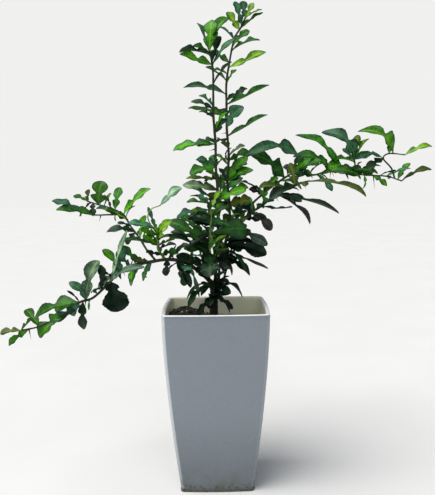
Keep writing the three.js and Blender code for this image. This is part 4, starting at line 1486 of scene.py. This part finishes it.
def thorn_master(material):
    """A straight horn a metre long with a radius of a metre, its foot spread wider, to be scaled down."""
    first = THORN_LENGTHS[0]
    bpy.ops.object.select_all(action="DESELECT")
    bpy.ops.mesh.primitive_cone_add(
        vertices=THORN_SIDES, radius1=1, radius2=THORN_SHARES[0], depth=first, location=(0, 0, first / 2)
    )
    horn = added("thorn_master")
    bpy.ops.object.mode_set(mode="EDIT")
    pick(horn, "faces", lambda face: face.normal.z > FACING)
    for length, share in zip(THORN_LENGTHS[1:], THORN_SHARES[1:]):
        bpy.ops.mesh.extrude_region_move(TRANSFORM_OT_translate={"value": (0, 0, length)})
        bpy.ops.transform.resize(value=(share, share, 1), center_override=(0, 0, 0))
    pick(horn, "edges", lambda edge: all(v.co.z < NEAR for v in edge.verts))
    bpy.ops.transform.resize(value=(THORN_FOOT, THORN_FOOT, 1), center_override=(0, 0, 0))
    bpy.ops.object.mode_set(mode="OBJECT")
    horn.data.materials.append(material)
    smooth(horn, angle=50)
    return horn


def pointing(master, base, along, length, radius, bow=0.0):
    """A copy of the horn standing on base, a little bowed."""
    shape = points_of(master)
    turn = np.array(Vector((0, 0, 1)).rotation_difference(Vector(along)).to_matrix())
    bowed = bow * length * shape[:, 2] ** 2
    points = np.column_stack([shape[:, 0] * radius + bowed, shape[:, 1] * radius, shape[:, 2] * length])
    return copy_of(master, points @ turn.T + base)


def leafy_stem(name, stem, masters):
    """Two pieces stand for a stem's node: its wood with thorns, and its leaves."""
    corners = corners_of(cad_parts[name])
    draw = draws_from(stem["seed"])
    looks = random.Random(name)
    wood, leaves = [], []
    for branch in (stem, *stem.get("twigs", ())):
        route = branch["route"]
        spans = len(route) - 1
        radius_at = tapering(branch)
        stick = limb(name, route, radius_at, max(0, branch.get("from", 0) - SLEEVE), spans)
        stick.data.materials.append(masters["pale_bark" if name in PALE_STEMS else "bark"])
        wood.append(aged(roughened(stick, TWIG_RELIEF, TWIG_GRAIN), route, radius_at))
        leaves += leaves_on(branch, draw, corners, masters["leaf"], looks, stem["tones"])
        for place, heading, lean, length in branch.get("thorns", ()):
            base = point_on(route, place / spans) * MM
            along = heading_vector(heading, lean)
            bow = looks.uniform(*THORN_BOW)
            wood.append(pointing(masters["thorn"], base, along, length * MM, THORN_RADIUS * MM, bow))
        along = direction_on(route, 1)
        base = point_on(route, 1) * MM - along * MM
        wood.append(pointing(masters["bud"], base, along, BUD_LENGTH * MM, branch["radii"][1] * MM))
    leaves += extra_leaves(name, stem["route"], masters["leaf"])
    wood_piece = joined(name + "_wood", wood)
    smooth(wood_piece, angle=50)
    dress(wood_piece, name)
    dress(joined(name + "_leaves", leaves), name)


def trunk_radius(place):
    """The trunk flares where it enters the soil."""
    if place < TRUNK_FLARE_TO:
        return TRUNK_FLARE - (TRUNK_FLARE - TRUNK_RADIUS) * place / (len(TRUNK_ROUTE) - 1)
    return TRUNK_RADIUS - (TRUNK_RADIUS - FORK_RADIUS) * place / (len(TRUNK_ROUTE) - 1)


def trunk(material):
    """The trunk and the first stretch of its three forks, grown together."""
    parts = [limb("trunk_bole", TRUNK_ROUTE, trunk_radius, 0, len(TRUNK_ROUTE) - 1)]
    for name in FORKS:
        stem = STEMS[name]
        radius_at = tapering(stem)
        parts.append(limb(name, stem["route"], lambda p: radius_at(p) - SLEEVE_INSET * p, 0, stem["from"]))
    piece = joined("trunk_wood", parts)
    apply_modifier(piece, "REMESH", mode="VOXEL", voxel_size=TRUNK_VOXEL)
    apply_modifier(piece, "SMOOTH", **TRUNK_SMOOTHING)
    roughened(piece, TRUNK_RELIEF, TRUNK_GRAIN)
    age = piece.data.attributes.new("age", "FLOAT", "POINT")
    age.data.foreach_set("value", np.ones(len(piece.data.vertices), dtype=np.float32))
    piece.data.materials.clear()
    piece.data.materials.append(material)
    smooth(piece, angle=60)
    dress(piece, "trunk")


# Camera, light and stage

def camera():
    lens = bpy.data.cameras.new("photo_camera")
    lens.sensor_width = SENSOR
    lens.lens = SENSOR * FOCAL_PIXELS / FRAME_LONG_SIDE
    place = bpy.data.objects.new("photo_camera", lens)
    bpy.context.scene.collection.objects.link(place)
    place.location = CAMERA_PLACE
    pan = Matrix.Rotation(math.radians(-CAMERA_YAW), 3, "Z")
    tilt = Matrix.Rotation(math.radians(90 + CAMERA_PITCH), 3, "X")
    roll = Matrix.Rotation(math.radians(CAMERA_ROLL), 3, "Z")
    place.rotation_euler = (pan @ tilt @ roll).to_euler()
    bpy.context.scene.camera = place


def lights():
    """Wide soft lights, and a sky that lights evenly and is seen as a plain pale backdrop."""
    for name, row in LIGHTS.items():
        lamp = bpy.data.lights.new(name, "SUN")
        lamp.angle = math.radians(row["angle"])
        lamp.energy = row["strength"]
        lamp.color = row["colour"]
        holder = bpy.data.objects.new(name, lamp)
        bpy.context.scene.collection.objects.link(holder)
        holder.location = row["from"]
        holder.rotation_euler = (-Vector(row["from"])).to_track_quat("-Z", "Y").to_euler()
    world = bpy.data.worlds.new("studio")
    world.use_nodes = True
    world.node_tree.nodes.clear()
    graph = Graph(world.node_tree)
    sky = graph.add("ShaderNodeBackground", {"Color": (*AMBIENT, 1), "Strength": AMBIENT_STRENGTH})
    seen = graph.add("ShaderNodeBackground", {"Color": (*BACKDROP, 1), "Strength": 1.0})
    direct = graph.add("ShaderNodeLightPath").outputs["Is Camera Ray"]
    mixed = graph.add("ShaderNodeMixShader", {0: direct, 1: sky.outputs[0], 2: seen.outputs[0]})
    output = graph.add("ShaderNodeOutputWorld")
    graph.tree.links.new(mixed.outputs[0], output.inputs[0])
    bpy.context.scene.world = world
    bpy.context.scene.view_settings.view_transform = "Standard"


def floor():
    bpy.ops.object.select_all(action="DESELECT")
    bpy.ops.mesh.primitive_plane_add(size=FLOOR_SIZE)
    plane = added("stage_floor")
    plane.data.materials.append(stage_floor())


camera()
lights()
floor()
planter()
soil_bed()
soil_litter()
old_bark = bark("old", 0.8)
trunk(old_bark)
masters = {
    "bark": old_bark,
    "pale_bark": bark("pale", 0.65),
    "leaf": leaf_master((leaf_upper(), leaf_under())),
    "thorn": thorn_master(thorn_horn()),
    "bud": thorn_master(crumb("bud_green", 0.5)),
}
for stem_name, stem_rows in STEMS.items():
    leafy_stem(stem_name, stem_rows, masters)
for kind in ("leaf", "thorn", "bud"):
    bpy.data.objects.remove(masters[kind])
